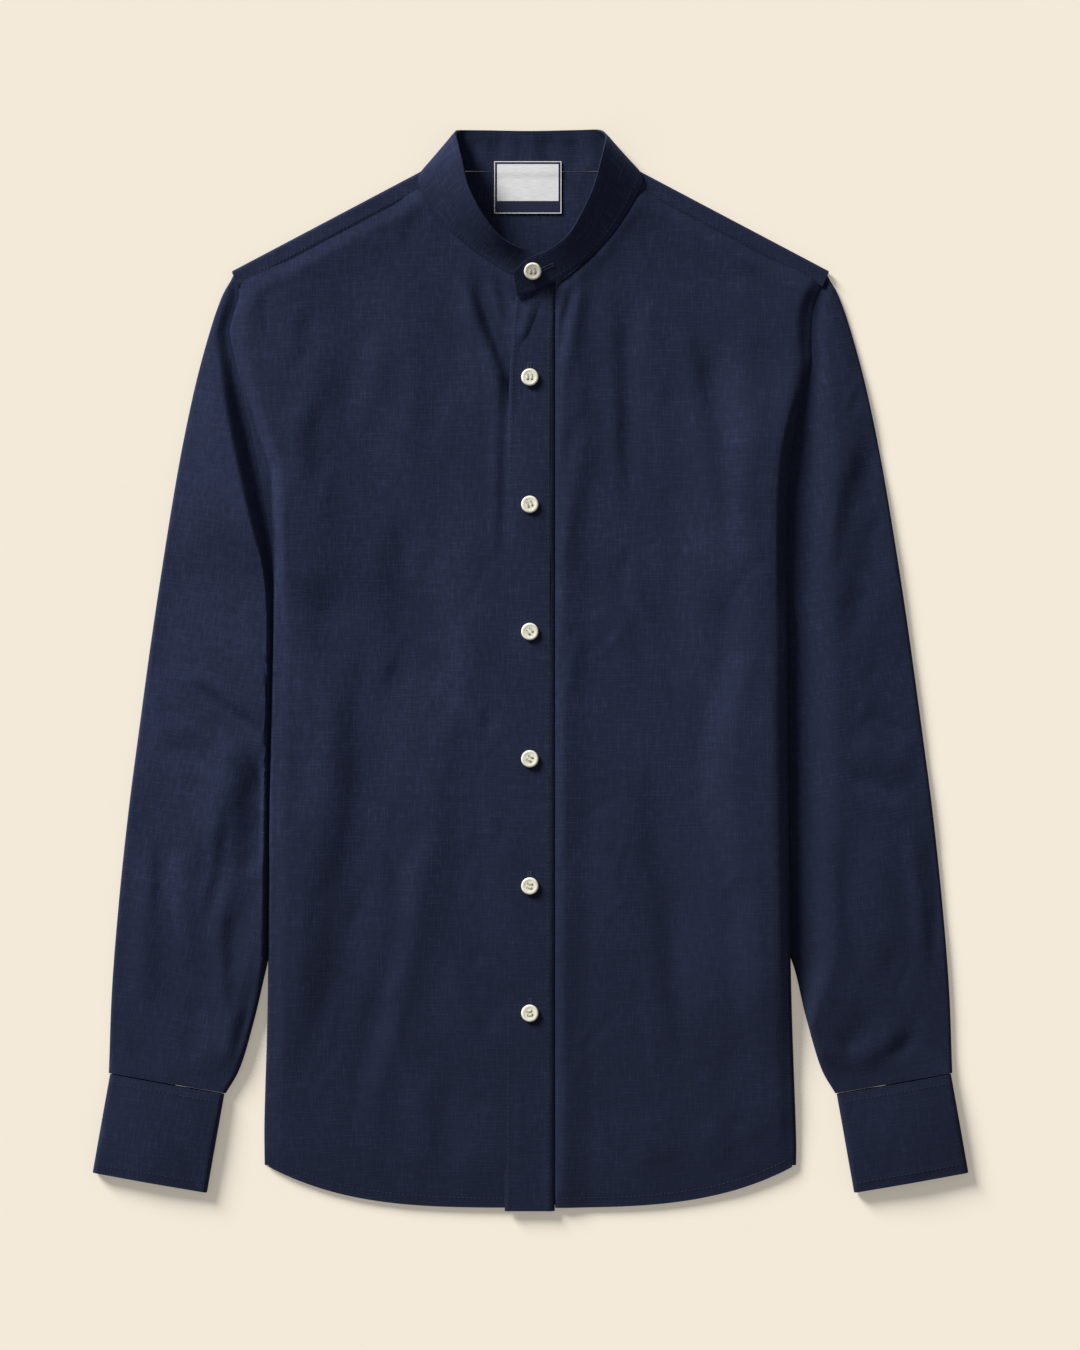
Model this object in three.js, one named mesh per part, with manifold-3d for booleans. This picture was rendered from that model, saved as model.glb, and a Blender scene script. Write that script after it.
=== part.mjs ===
// Long-sleeved linen shirt with a mandarin collar, buttoned and laid flat on its back.
// Millimetres, +Z up, +Y towards the collar, +X to the wearer's left.
// The origin is on the surface that the shirt lies on, midway between its ends and sides.
// Every piece of cloth is a wall of even thickness about a middle surface. The panels lie on
// each other, and the sleeves are tucked under the sides of the body.
import * as THREE from 'three';
import Module from 'manifold-3d';

// Cloth
const CLOTH = 1.4;
const PLACKET_CLOTH = 1.5;
const BAND_CLOTH = 1.8;
const CUFF_CLOTH = 2.0;
const SEAM = 0.35;

// Body
const HEM_LOW_Y = -392.3;
const HEM_RISE = 31;
const HEM_HALF_WIDTH = 193;
const HEM_POWER = 3.4;
const BACK_SHORTER = 2;
const PANEL_SPACE = 2.1;
const SIDE_SPACE = 4.8;
const SIDE_SPACE_REACH = 88;
const BODY_SPACE_MOST = 5.3;
const ROLL_WIDTH = 3;
const ROLL_GAP = 0.8;
const ROLL_DEGREES = [90, 58, 28];
const STAND_REACH = 14;
const HEM_FLATTENS_OVER = 60;
const HEM_SIDE_SHARE = 0.35;
const BACK_HEM_START_Y = -361;

// Shoulders and yoke
const NECK_POINT_X = 80.3;
const SHOULDER_X = 82.9;
const SHOULDER_Y = 361.7;
const SHOULDER_SLOPE = 0.528;
const SHOULDER_TIP_X = 218;
const SHOULDER_TIP_Y = 279;
const YOKE_BACK_Y = 262;
const YOKE_FRONT_DEPTH = 14;
const YOKE_SEAM = 0.8;
const YOKE_RISE_REACH = 45;
const SHOULDER_SPACE = 3.6;

// Placket and buttons
const PLACKET_RIGHT_X = 17.3;
const PLACKET_HEM_Y = -394.6;
const PLACKET_Z = 4.75;
const PLACKET_CAMBER = 0.15;
const PLACKET_TOP_SLANT = 11;
const PLACKET_JOIN_REACH = [46, 19];
const PLACKET_NECK_RISE = 0.1;
const BUTTON_DIAMETER = 12.6;
const BUTTON_THICKNESS = 2.3;
const BUTTON_HOLE = 1.7;
const BUTTON_HOLE_PITCH = 2.9;
const BUTTON_RIM = 2.2;
const BUTTON_RECESS = 0.7;
const BUTTON_EDGE_ROUND = 0.8;
const BUTTON_SIDES = 16;
const BUTTON_X = -0.5;
const BUTTON_TOP_Y = 212.8;
const BUTTON_STEP = 92.6;
const PLACKET_BUTTONS = 6;
const COLLAR_BUTTON = { x: 1.6, y: 289.4, z: 10.6, tilt: 0.16 };

// Sleeves and cuffs
const UNDERARM_Y = 80;
const SLEEVE_SEAM_SPACE = 1.9;
const SLEEVE_CROWN_SPACE = 4.2;
const SLEEVE_SPACE_MOST = 5.3;
const SLEEVE_CROWN_REACH = 30;
const SLEEVE_END_SPACE = 4.6;
const TUCK_LIFT = 4.3;
const TUCK_RAMP = 28;
const TUCK_LEAST = 14;
const TUCK_MARGIN = 6;
const TUCK_TOP_FADE = [1, 22];
const TUCK_END_FADE = [-250, -222];
const ARMHOLE_TOP_Y = 288.6;
const ARMHOLE_GAP = 0.6;
const ARMHOLE_BOW_REACH = 0.3;
const SLEEVE_FAN = 1.25;
const SLEEVE_EDGE_ROUND = 0.6;
const SLEEVE_END_FADE = [-285, -300];
const CUFF_LENGTH = 73;
const CUFF_WIDTH = 85;
const CUFF_LAP_END = -6;
const CUFF_UNDERLAP_END = 12;
const CUFF_UNDERLAP_RAMP = [12, 3];
const CUFF_SEAM_OUTER = [306.6, -294.4];
const CUFF_SEAM_INNER = [222.9, -309.2];
const CUFF_BUTTON = { w: 3, l: CUFF_LENGTH / 2 };
const CUFF_BUTTON_ROOM = 0.6;
const CUFF_LIFT_REACH = 32;
const CUFF_LIFT_FLAT = 4;

// Label
const LABEL = { width: 49, length: 38, x: -2, top: 370.6, cloth: 0.5, gap: 0.45, overBand: 0.3 };

// Folds fade out over these distances from a panel's edge and from the placket's seam.
const FOLD_EDGE_FADE = [2, 12];
const FOLD_PLACKET_FADE = [3, 15];

const COLOURS = {
  linen: 0x24293b,
  sleeve: 0x282c3f,
  button: 0xe1decd,
  label: 0xcfcfd1,
};

// Outline tables, from the shoulder down. Columns: y, distance from the centre line.
const RIGHT_EDGE = [
  [291, 218], [275, 212.5], [258, 217], [246, 219.5], [228, 216], [208, 211.5], [188, 207],
  [160, 201], [127, 195.3], [94, 190.4], [64, 187.6], [0, 188.2], [-100, 190.2],
  [-240, 191.6], [-330, 194.2], [-365, 194],
];
const LEFT_EDGE = [
  [291, 218], [276, 211.5], [262, 206.4], [240, 205], [222, 205], [205, 201], [188, 196.4],
  [168, 192], [150, 189.2], [128, 187.7], [100, 187.2], [0, 187.2], [-168, 188.7], [-241, 190.2],
  [-300, 192.4], [-345, 193.9], [-365, 193.7],
];
// Places of the crosswise lines that the back and the fronts share, from the chest to the hem.
const BODY_ROWS = [190, 155, 120, 84, 72, 64, 57, 46, 30, 12, -8, -47, -87, -126, -166, -205,
  -218, -230, -242, -254, -285, -312, -340, -358];
// Outer edge of a sleeve. Columns: distance from the centre line, y.
const SLEEVE_OUTER = [
  [218.6, 290], [221.6, 283.5], [225.6, 276], [231, 261], [235, 247], [240.4, 226],
  [245.4, 204], [254, 160], [265, 94.5], [275, 28.8], [284, -36.9], [292.6, -102.6],
  [299.6, -168.3], [304.8, -234], [307, -294],
];
// Inner edge of a sleeve below the underarm, as the distance it is tucked under the body's side.
const SLEEVE_TUCK = [
  [80, -1.15], [54, -1.15], [30, 6], [0, 19], [-30, 28], [-62, 33], [-104, 31], [-150, 18.5],
  [-190, 5], [-208, -0.5],
];
// Inner edge of a sleeve below the place where it comes out. Columns: distance, y.
const SLEEVE_INNER_LOW = [[193.6, -220], [202, -256], [213, -292], [222.6, -308.6]];
// Neck edges of the two fronts, hidden under the band. Columns: distance to the side, y.
const RIGHT_NECK = [[86, 360], [78.5, 352], [70.5, 339.5], [49, 316], [32, 303], [19, 295.4],
  [8, 290.4], [-20, 289]];
const LEFT_NECK = [[86, 360], [78, 350], [66, 333.5], [52, 316], [36, 300], [26, 290.8],
  [16, 285.4], [-20, 280]];
// Largest folds, as soft ridges. Columns: x and y of one end, x and y of the other end,
// half width, height.
const BODY_FOLDS = [
  [-104, 130, -143, -40, 15, 2.0],
  [-143, -40, -176, -245, 15, 2.0],
  [-24, 40, -57, -93, 15, 2.0],
  [-57, -93, -106, -250, 15, 2.0],
  [-52, 284, -32, 175, 9, 1.6],
  [-150, 250, -172, 150, 12, 1.4],
  [33, 258, 46, 110, 12, 1.8],
  [84, 280, 89, 110, 13, 1.7],
  [150, 235, 158, 100, 14, 1.5],
  [112, 66, 100, -112, 16, 1.9],
  [58, -60, 76, -250, 14, 1.8],
  [128, -110, 142, -310, 15, 1.6],
];
const SLEEVE_FOLDS = [
  [-256, 2, -196, -40, 8, 1.3],
  [-266, -32, -204, -72, 8, 1.2],
  [-278, -120, -282, -262, 10, 1.3],
  [-250, -118, -250, -226, 9, 1.4],
  [-226, -150, -222, -268, 7, 1.2],
  [214, 196, 204, 92, 8, 0.9],
  [246, 150, 222, 20, 12, 1.2],
  [232, -52, 280, -78, 10, 1.1],
  [285, -104, 297, -228, 6, 1.1],
  [236, -292, 272, -254, 8, 1.4],
  [250, -110, 262, -230, 14, 1.2],
];
// Left edge of the placket. Columns: y, x.
const PLACKET_EDGE = [[274, -10.8], [252, -12.8], [217, -15], [170, -16.4], [122, -17.2],
  [70, -18.3], [-395, -18.6]];

// The band, from its under end at the front, round the back of the neck to its upper end.
// Columns: lower edge x, y, z, then upper edge x, y, z.
const BAND = [
  [12, 291, 4.95, 12, 304, 7.4],
  [-12.8, 287.3, 4.95, -2.6, 306, 7.6],
  [-34, 299.7, 4.95, -20.8, 315, 10],
  [-51.5, 312.8, 5.2, -35.4, 333, 12.2],
  [-67, 328.4, 5.8, -45.6, 353, 12.9],
  [-78.4, 344.6, 6.3, -50, 371.4, 13],
  [-81.6, 356.6, 6.5, -53.4, 385.4, 12],
  [-79, 362.6, 5.4, -56, 391.4, 8.4],
  [-77.4, 364.3, 3.0, -55.6, 393.8, 4.6],
  [-72, 364.4, 0.95, -51.4, 394.4, 2.2],
  [-44, 363.8, 0.9, -36, 394.1, 1.5],
  [0, 363.8, 0.9, 0, 393.5, 1.4],
  [44, 363.8, 0.9, 36, 394.1, 1.5],
  [72, 364.4, 0.95, 50.6, 394.4, 2.2],
  [77.4, 364.3, 3.0, 54.8, 393.8, 4.6],
  [79, 362.6, 5.4, 55.4, 391, 8.4],
  [81.2, 355.6, 6.5, 54.6, 385, 12],
  [74.8, 341, 6.3, 51.4, 371, 13],
  [65.4, 325.6, 5.8, 46, 352.6, 12.9],
  [52.4, 309.4, 5.7, 38.4, 335.6, 12.4],
  [36, 294.6, 6.2, 27.4, 317.4, 11.6],
  [18.6, 283.2, 6.9, 12.8, 306.2, 10.9],
  [0, 275, 7.0, -3.6, 298.6, 10.7],
  [-9.6, 271.4, 7.0, -12.6, 290, 10],
];
const BAND_STEPS = 2;

const clamp = THREE.MathUtils.clamp;
const lerp = THREE.MathUtils.lerp;

function ease(from, to, value) {
  const t = clamp((value - from) / (to - from), 0, 1);
  return t * t * (3 - 2 * t);
}

// Reads a table whose first column falls, with a smooth curve through its rows.
function readTable(table, key) {
  const last = table.length - 1;
  if (key >= table[0][0]) return table[0][1];
  if (key <= table[last][0]) return table[last][1];
  let row = 0;
  while (table[row + 1][0] > key) row += 1;
  const slope = (a, b) => (table[b][1] - table[a][1]) / (table[b][0] - table[a][0]);
  const tangent = (k) => slope(Math.max(k - 1, 0), Math.min(k + 1, last));
  const [x0, y0] = table[row];
  const [x1, y1] = table[row + 1];
  const step = x1 - x0;
  const t = (key - x0) / step;
  const m0 = tangent(row) * step;
  const m1 = tangent(row + 1) * step;
  return y0 * (2 * t ** 3 - 3 * t ** 2 + 1) + m0 * (t ** 3 - 2 * t ** 2 + t)
    + y1 * (3 * t ** 2 - 2 * t ** 3) + m1 * (t ** 3 - t ** 2);
}

function bodyEdge(side, y) {
  return readTable(side < 0 ? RIGHT_EDGE : LEFT_EDGE, y);
}

function hemY(x) {
  return HEM_LOW_Y + HEM_RISE * (Math.abs(x) / HEM_HALF_WIDTH) ** HEM_POWER;
}

function shoulderY(x) {
  return SHOULDER_Y - SHOULDER_SLOPE * (Math.abs(x) - SHOULDER_X);
}

// Height that the folds add at a place. Each ridge rises from its ends to its middle.
function foldHeight(folds, x, y) {
  let height = 0;
  for (const [x0, y0, x1, y1, halfWidth, rise] of folds) {
    const length = Math.hypot(x1 - x0, y1 - y0);
    const along = ((x - x0) * (x1 - x0) + (y - y0) * (y1 - y0)) / length ** 2;
    const across = ((x - x0) * (y1 - y0) - (y - y0) * (x1 - x0)) / length;
    const ends = ease(-0.08, 0.3, along) * ease(1.08, 0.7, along);
    height += rise * ends * Math.exp(-((across / halfWidth) ** 2));
  }
  return height;
}

function sleeveTuck(y) {
  return readTable(SLEEVE_TUCK, y);
}

// Height that the body's side is raised where a tucked sleeve lies under it.
function tuckLift(x, y) {
  const edge = bodyEdge(Math.sign(x) || 1, y);
  const inner = edge - Math.max(sleeveTuck(y), TUCK_LEAST) - TUCK_MARGIN;
  const acrossBody = ease(inner - TUCK_RAMP, inner, Math.abs(x));
  const downBody = ease(...TUCK_TOP_FADE, UNDERARM_Y - y) * ease(...TUCK_END_FADE, y);
  return TUCK_LIFT * acrossBody * downBody;
}

// Height from the middle of the back's cloth to the middle of the front's.
function bodySpace(side, x, y) {
  const inside = bodyEdge(side, y) - Math.abs(x);
  const sides = (SIDE_SPACE - PANEL_SPACE) * ease(SIDE_SPACE_REACH, 4, inside);
  const hemFade = lerp(HEM_SIDE_SHARE, 1, ease(0, HEM_FLATTENS_OVER, y - hemY(x)));
  const seamY = shoulderY(x) - YOKE_FRONT_DEPTH;
  const top = (SHOULDER_SPACE - PANEL_SPACE) * ease(seamY - YOKE_RISE_REACH, seamY, y);
  const placketSpace = PLACKET_Z - CLOTH / 2 - PANEL_SPACE;
  const joinPlacket = side > 0 ? placketSpace * ease(...PLACKET_JOIN_REACH, x) : 0;
  const fromPlacket = Math.abs(x) - PLACKET_RIGHT_X;
  const fade = ease(...FOLD_EDGE_FADE, inside) * ease(...FOLD_PLACKET_FADE, fromPlacket);
  const folds = foldHeight(BODY_FOLDS, x, y) * fade;
  const raised = Math.max(sides * hemFade, top, joinPlacket);
  return Math.min(PANEL_SPACE + raised + folds, BODY_SPACE_MOST);
}

function backZ(x, y) {
  return CLOTH / 2 + tuckLift(x, y);
}

function frontZ(side, x, y) {
  return backZ(x, y) + bodySpace(side, x, y);
}

// A middle surface: points and four-sided faces. Points that coincide are shared.
class Surface {
  constructor() {
    this.points = [];
    this.faces = [];
    this.known = new Map();
  }

  point(p) {
    const key = p.toArray().map((n) => Math.round(n * 1000)).join();
    if (!this.known.has(key)) {
      this.known.set(key, this.points.length);
      this.points.push(p.clone());
    }
    return this.known.get(key);
  }

  grid(rows, { closed = false } = {}) {
    const ids = rows.map((row) => row.map((p) => this.point(p)));
    const across = closed ? rows[0].length : rows[0].length - 1;
    for (let i = 0; i + 1 < ids.length; i += 1) {
      for (let j = 0; j < across; j += 1) {
        const k = (j + 1) % rows[0].length;
        this.faces.push([ids[i][j], ids[i + 1][j], ids[i + 1][k], ids[i][k]]);
      }
    }
    return this;
  }

  normals() {
    const sums = this.points.map(() => new THREE.Vector3());
    for (const face of this.faces) {
      const [a, b, c, d] = face.map((id) => this.points[id]);
      const normal = c.clone().sub(a).cross(d.clone().sub(b)).normalize();
      face.forEach((id) => sums[id].add(normal));
    }
    return sums.map((sum) => sum.normalize());
  }

  borders() {
    const edges = new Map();
    for (const face of this.faces) {
      face.forEach((a, k) => edges.set(`${a},${face[(k + 1) % 4]}`, [a, face[(k + 1) % 4]]));
    }
    return [...edges.values()].filter(([a, b]) => !edges.has(`${b},${a}`));
  }

  // A closed wall of the given thickness, half on each side of the surface.
  wall(thickness) {
    const count = this.points.length;
    const normals = this.normals();
    const offset = (side) => this.points.map((p, id) => {
      const moved = p.clone().addScaledVector(normals[id], side * thickness / 2);
      moved.z = Math.max(moved.z, 0);
      return moved;
    });
    const vertices = [...offset(1), ...offset(-1)];
    const triangles = [];
    for (const [a, b, c, d] of this.faces) {
      triangles.push([a, b, c], [a, c, d]);
      triangles.push([count + a, count + c, count + b], [count + a, count + d, count + c]);
    }
    for (const [a, b] of this.borders()) {
      triangles.push([b, a, count + a], [b, count + a, count + b]);
    }
    return closedGeometry(vertices, triangles);
  }
}

function closedGeometry(vertices, triangles) {
  let volume = 0;
  for (const [a, b, c] of triangles) {
    volume += vertices[a].dot(vertices[b].clone().cross(vertices[c])) / 6;
  }
  const outward = volume > 0 ? triangles : triangles.map(([a, b, c]) => [a, c, b]);
  const geometry = new THREE.BufferGeometry();
  const positions = vertices.flatMap((v) => v.toArray());
  geometry.setAttribute('position', new THREE.Float32BufferAttribute(positions, 3));
  geometry.setIndex(outward.flat());
  geometry.computeVertexNormals();
  return geometry;
}

const material = {
  linen: () => new THREE.MeshStandardMaterial({
    color: COLOURS.linen, roughness: 0.95, metalness: 0,
  }),
  sleeve: () => new THREE.MeshStandardMaterial({
    color: COLOURS.sleeve, roughness: 0.95, metalness: 0,
  }),
  button: () => new THREE.MeshStandardMaterial({
    color: COLOURS.button, roughness: 0.35, metalness: 0,
  }),
  label: () => new THREE.MeshStandardMaterial({
    color: COLOURS.label, roughness: 0.8, metalness: 0,
  }),
};

const shirt = new THREE.Group();

function addPiece(name, geometry, cloth) {
  const mesh = new THREE.Mesh(geometry, material[cloth]());
  mesh.name = name;
  shirt.add(mesh);
  return mesh;
}

function spread(count, from = 0, to = 1) {
  return Array.from({ length: count + 1 }, (_, k) => lerp(from, to, k / count));
}

// Back: from the yoke seam to the hem, between the armholes and the side edges.
function backPanel() {
  const half = [0, 0.22, 0.42, 0.58, 0.7, 0.78, 0.85, 0.91, 0.96, 1];
  const across = [...half.slice(1).reverse().map((u) => -u), ...half];
  const top = YOKE_BACK_Y - SEAM;
  const down = [top, 226, ...BODY_ROWS];
  const rows = down.map((y) => across.map((u) => {
    const x = u * bodyEdge(Math.sign(u) || 1, y);
    return new THREE.Vector3(x, y, backZ(x, y));
  }));
  const hemRow = across.map((u) => {
    const x = u * bodyEdge(Math.sign(u) || 1, BACK_HEM_START_Y);
    const y = hemY(x) + BACK_SHORTER;
    return new THREE.Vector3(x, Math.min(y, BACK_HEM_START_Y), backZ(x, y));
  });
  return new Surface().grid([...rows, hemRow]).wall(CLOTH);
}

// Top edge of a front: the yoke seam towards the shoulder, the neck edge towards the centre.
function frontTopY(side, x) {
  const outward = side * x;
  if (outward > NECK_POINT_X + 3) return shoulderY(x) - YOKE_FRONT_DEPTH - YOKE_SEAM;
  const neck = readTable(side < 0 ? RIGHT_NECK : LEFT_NECK, outward);
  return Math.min(neck, shoulderY(x) - YOKE_FRONT_DEPTH - YOKE_SEAM);
}

// Front: its side edge rolls down to the back's edge, and its hem is the shirt-tail curve.
function frontPanel(side) {
  const inner = side < 0 ? -STAND_REACH : PLACKET_RIGHT_X + SEAM;
  const across = [0, 0.05, 0.12, 0.2, 0.29, 0.38, 0.47, 0.56, 0.65, 0.74, 0.82, 0.9, 0.96, 1];
  const sideTop = shoulderY(bodyEdge(side, SHOULDER_TIP_Y)) - YOKE_FRONT_DEPTH;
  const sideLow = hemY(HEM_HALF_WIDTH);
  const down = [sideTop, 268, 250, 226, ...BODY_ROWS.slice(0, -1), sideLow].map((y) => (
    (sideTop - y) / (sideTop - sideLow)
  ));
  const edgeX = (y) => bodyEdge(side, y) - CLOTH / 2;
  const place = (outward, y, drop) => {
    const x = side * outward;
    return new THREE.Vector3(x, y, frontZ(side, x, y) - drop);
  };
  const meet = (outwardAt) => {
    let y = SHOULDER_TIP_Y;
    for (let pass = 0; pass < 12; pass += 1) y = frontTopY(side, side * outwardAt(y));
    return y;
  };
  const columns = [];
  for (const degrees of ROLL_DEGREES) {
    const angle = THREE.MathUtils.degToRad(degrees);
    const inset = ROLL_WIDTH * (1 - Math.sin(angle));
    const topY = meet((y) => edgeX(y) - inset);
    columns.push(down.map((v) => {
      const y = lerp(topY, sideLow, v);
      const outward = edgeX(y) - inset;
      const room = bodySpace(side, side * outward, y) - CLOTH / 2 - ROLL_GAP;
      return place(outward, y, room * (1 - Math.cos(angle)));
    }));
  }
  for (const c of across) {
    const outwardAt = (y) => lerp(edgeX(y) - ROLL_WIDTH, inner, c);
    const topY = meet(outwardAt);
    const lowY = hemY(outwardAt(HEM_LOW_Y));
    columns.push(down.map((v) => {
      const y = lerp(topY, lowY, v);
      return place(outwardAt(y), y, 0);
    }));
  }
  return new Surface().grid(columns).wall(CLOTH);
}

// Yoke: flat across the back of the shoulders, then folded over each shoulder to the front.
function yoke() {
  const surface = new Surface();
  const neckTop = shoulderY(NECK_POINT_X) - SEAM;
  const fractions = [0, 0.25, 0.5, 0.72, 0.88, 1];
  const centre = fractions.map((f) => spread(8, -NECK_POINT_X, NECK_POINT_X).map((x) => (
    new THREE.Vector3(x, lerp(YOKE_BACK_Y, neckTop, f), CLOTH / 2)
  )));
  surface.grid(centre);
  const fold = SHOULDER_SPACE / 2;
  const outward = [0, 0.04, 0.18, 0.36, 0.54, 0.72, 0.88, 1];
  for (const side of [-1, 1]) {
    const column = (c) => {
      const along = (depth) => {
        let x = lerp(NECK_POINT_X, SHOULDER_TIP_X, c);
        for (let pass = 0; pass < 6; pass += 1) {
          x = lerp(NECK_POINT_X, bodyEdge(side, shoulderY(x) - depth), c);
        }
        return x;
      };
      const points = fractions.map((f) => {
        let x = lerp(NECK_POINT_X, SHOULDER_TIP_X, c);
        let y = 0;
        for (let pass = 0; pass < 6; pass += 1) {
          y = lerp(YOKE_BACK_Y, shoulderY(x) - fold - SEAM, f);
          if (c === 0) y = lerp(YOKE_BACK_Y, neckTop, f);
          x = lerp(NECK_POINT_X, bodyEdge(side, y), c);
        }
        return new THREE.Vector3(side * x, y, CLOTH / 2);
      });
      for (const degrees of [30, 62, 90, 118, 150, 180]) {
        const angle = THREE.MathUtils.degToRad(degrees);
        const x = along(fold);
        const y = shoulderY(x) - fold - CLOTH / 2 + fold * Math.sin(angle);
        points.push(new THREE.Vector3(side * x, y, CLOTH / 2 + fold * (1 - Math.cos(angle))));
      }
      for (const depth of [7, YOKE_FRONT_DEPTH]) {
        const x = along(depth);
        const z = CLOTH / 2 + SHOULDER_SPACE;
        points.push(new THREE.Vector3(side * x, shoulderY(x) - depth, z));
      }
      return points;
    };
    const columns = outward.map(column);
    surface.grid(side < 0 ? columns : columns.reverse());
  }
  return surface.wall(CLOTH);
}

// Placket: the strip of the left front that laps over the right front and holds the buttonholes.
function placket() {
  const down = [273.5, 262, 246, 228, 208, 180, 150, ...spread(12, 110, -340), -370, PLACKET_HEM_Y];
  const rows = down.map((y, k) => [0, 0.12, 0.5, 0.88, 1].map((u) => {
    const x = lerp(readTable(PLACKET_EDGE, y), PLACKET_RIGHT_X, u);
    const rise = k === 0 ? PLACKET_TOP_SLANT * u : 0;
    const camber = PLACKET_CAMBER * Math.sin(Math.PI * u);
    return new THREE.Vector3(x, y + rise, PLACKET_Z + camber + frontLift(y));
  }));
  return new Surface().grid(rows).wall(PLACKET_CLOTH);
}

// The fronts lie a little higher at the neck, where the placket starts.
function frontLift(y) {
  return PLACKET_NECK_RISE * ease(240, 275, y);
}

// Collar band: one stiff strip that stands off the neck seam and laps at the front.
function band() {
  const edge = (from) => new THREE.CatmullRomCurve3(
    BAND.map((row) => new THREE.Vector3(...row.slice(from, from + 3))),
    false,
    'centripetal',
  );
  const lower = edge(0);
  const upper = edge(3);
  const spans = BAND.length - 1;
  const rows = spread(spans * BAND_STEPS).map((t) => {
    const low = lower.getPoint(t);
    const high = upper.getPoint(t);
    return [0, 0.33, 0.67, 1].map((h) => low.clone().lerp(high, h));
  });
  return new Surface().grid(rows).wall(BAND_CLOTH);
}

// Height from the middle of a sleeve's lower wall to the middle of its upper wall.
function sleeveSpace(side, outward, y) {
  const outside = outward - bodyEdge(side, y);
  const crown = (SLEEVE_CROWN_SPACE - SLEEVE_SEAM_SPACE) * ease(0, SLEEVE_CROWN_REACH, outside);
  const folds = foldHeight(SLEEVE_FOLDS, side * outward, y) * ease(...FOLD_EDGE_FADE, outside);
  const full = Math.min(SLEEVE_SEAM_SPACE + crown + folds, SLEEVE_SPACE_MOST);
  return lerp(full, Math.min(full, SLEEVE_END_SPACE), ease(...SLEEVE_END_FADE, y));
}

function curveThrough(points) {
  return new THREE.CatmullRomCurve3(points, false, 'centripetal');
}

// Sleeve: a flat tube. Its first ring is the armhole, its last one the seam of the cuff.
function sleeve(side) {
  const armhole = spread(24, ARMHOLE_TOP_Y, UNDERARM_Y).map((y) => (
    new THREE.Vector3(bodyEdge(side, y) + ARMHOLE_GAP, y, 0)
  ));
  const under = [80, 66, 54, 40, 24, 0, -30, -62, -104, -150, -185, -206].map((y) => (
    new THREE.Vector3(bodyEdge(side, y) - sleeveTuck(y) + 0.1, y, 0)
  ));
  const low = SLEEVE_INNER_LOW.map(([x, y]) => new THREE.Vector3(x, y, 0));
  const outer = curveThrough(SLEEVE_OUTER.map(([x, y]) => new THREE.Vector3(x, y, 0)));
  const inner = curveThrough([...under, ...low]);
  const seam = curveThrough(armhole);
  const across = [0, 0.012, 0.035, 0.1, 0.2, 0.34, 0.5, 0.66, 0.8, 0.9, 0.965, 0.988, 1];
  const along = [0, 0.012, 0.035, 0.07, 0.115, 0.17, 0.23, 0.29, 0.35, 0.4, 0.44, 0.475, 0.51,
    0.545, 0.58, 0.62, 0.67, 0.72, 0.77, 0.82, 0.87, 0.91, 0.95, 0.98, 1];
  const rings = along.map((t) => {
    const from = outer.getPointAt(t);
    const to = inner.getPointAt(t ** SLEEVE_FAN);
    const chord = from.distanceTo(to);
    const fade = (1 - Math.min(t / ARMHOLE_BOW_REACH, 1)) ** 2;
    const spot = (s) => {
      const straight = from.clone().lerp(to, s);
      const bow = seam.getPointAt(s).sub(armhole[0].clone().lerp(armhole.at(-1), s));
      return straight.addScaledVector(bow, fade);
    };
    const point = (s, upper) => {
      const p = spot(s);
      const space = sleeveSpace(side, p.x, p.y);
      const fromEdge = Math.min(s, 1 - s) * chord;
      const inward = Math.min(fromEdge / (space / 2 + SLEEVE_EDGE_ROUND), 1);
      const round = Math.sqrt(1 - (1 - inward) ** 2);
      const reach = upper ? 1 + round : 1 - round;
      return new THREE.Vector3(side * p.x, p.y, CLOTH / 2 + space / 2 * reach);
    };
    const upper = across.map((s) => point(s, true));
    const lower = across.slice(1, -1).reverse().map((s) => point(s, false));
    return [...upper, ...lower];
  });
  return new Surface().grid(rings, { closed: true }).wall(CLOTH);
}

// Where a cuff lies: its top edge starts at the sleeve's outer end and slants with the arm.
function cuffFrame(side) {
  const outer = new THREE.Vector3(...CUFF_SEAM_OUTER, 0);
  const inner = new THREE.Vector3(...CUFF_SEAM_INNER, 0);
  const across = outer.clone().sub(inner).normalize();
  const down = new THREE.Vector3(across.y, -across.x, 0);
  const middle = inner.clone().lerp(outer, 0.5);
  return (w, l, z) => {
    const p = middle.clone().addScaledVector(across, w).addScaledVector(down, l);
    return new THREE.Vector3(side * p.x, p.y, z);
  };
}

// Height that the cuff's lower wall is held off the surface by its button.
function cuffLift(w, l) {
  const away = Math.hypot(w - CUFF_BUTTON.w, l - CUFF_BUTTON.l);
  const near = ease(CUFF_LIFT_REACH, BUTTON_DIAMETER / 2 + CUFF_LIFT_FLAT, away);
  return (BUTTON_THICKNESS + CUFF_BUTTON_ROOM) * near;
}

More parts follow.
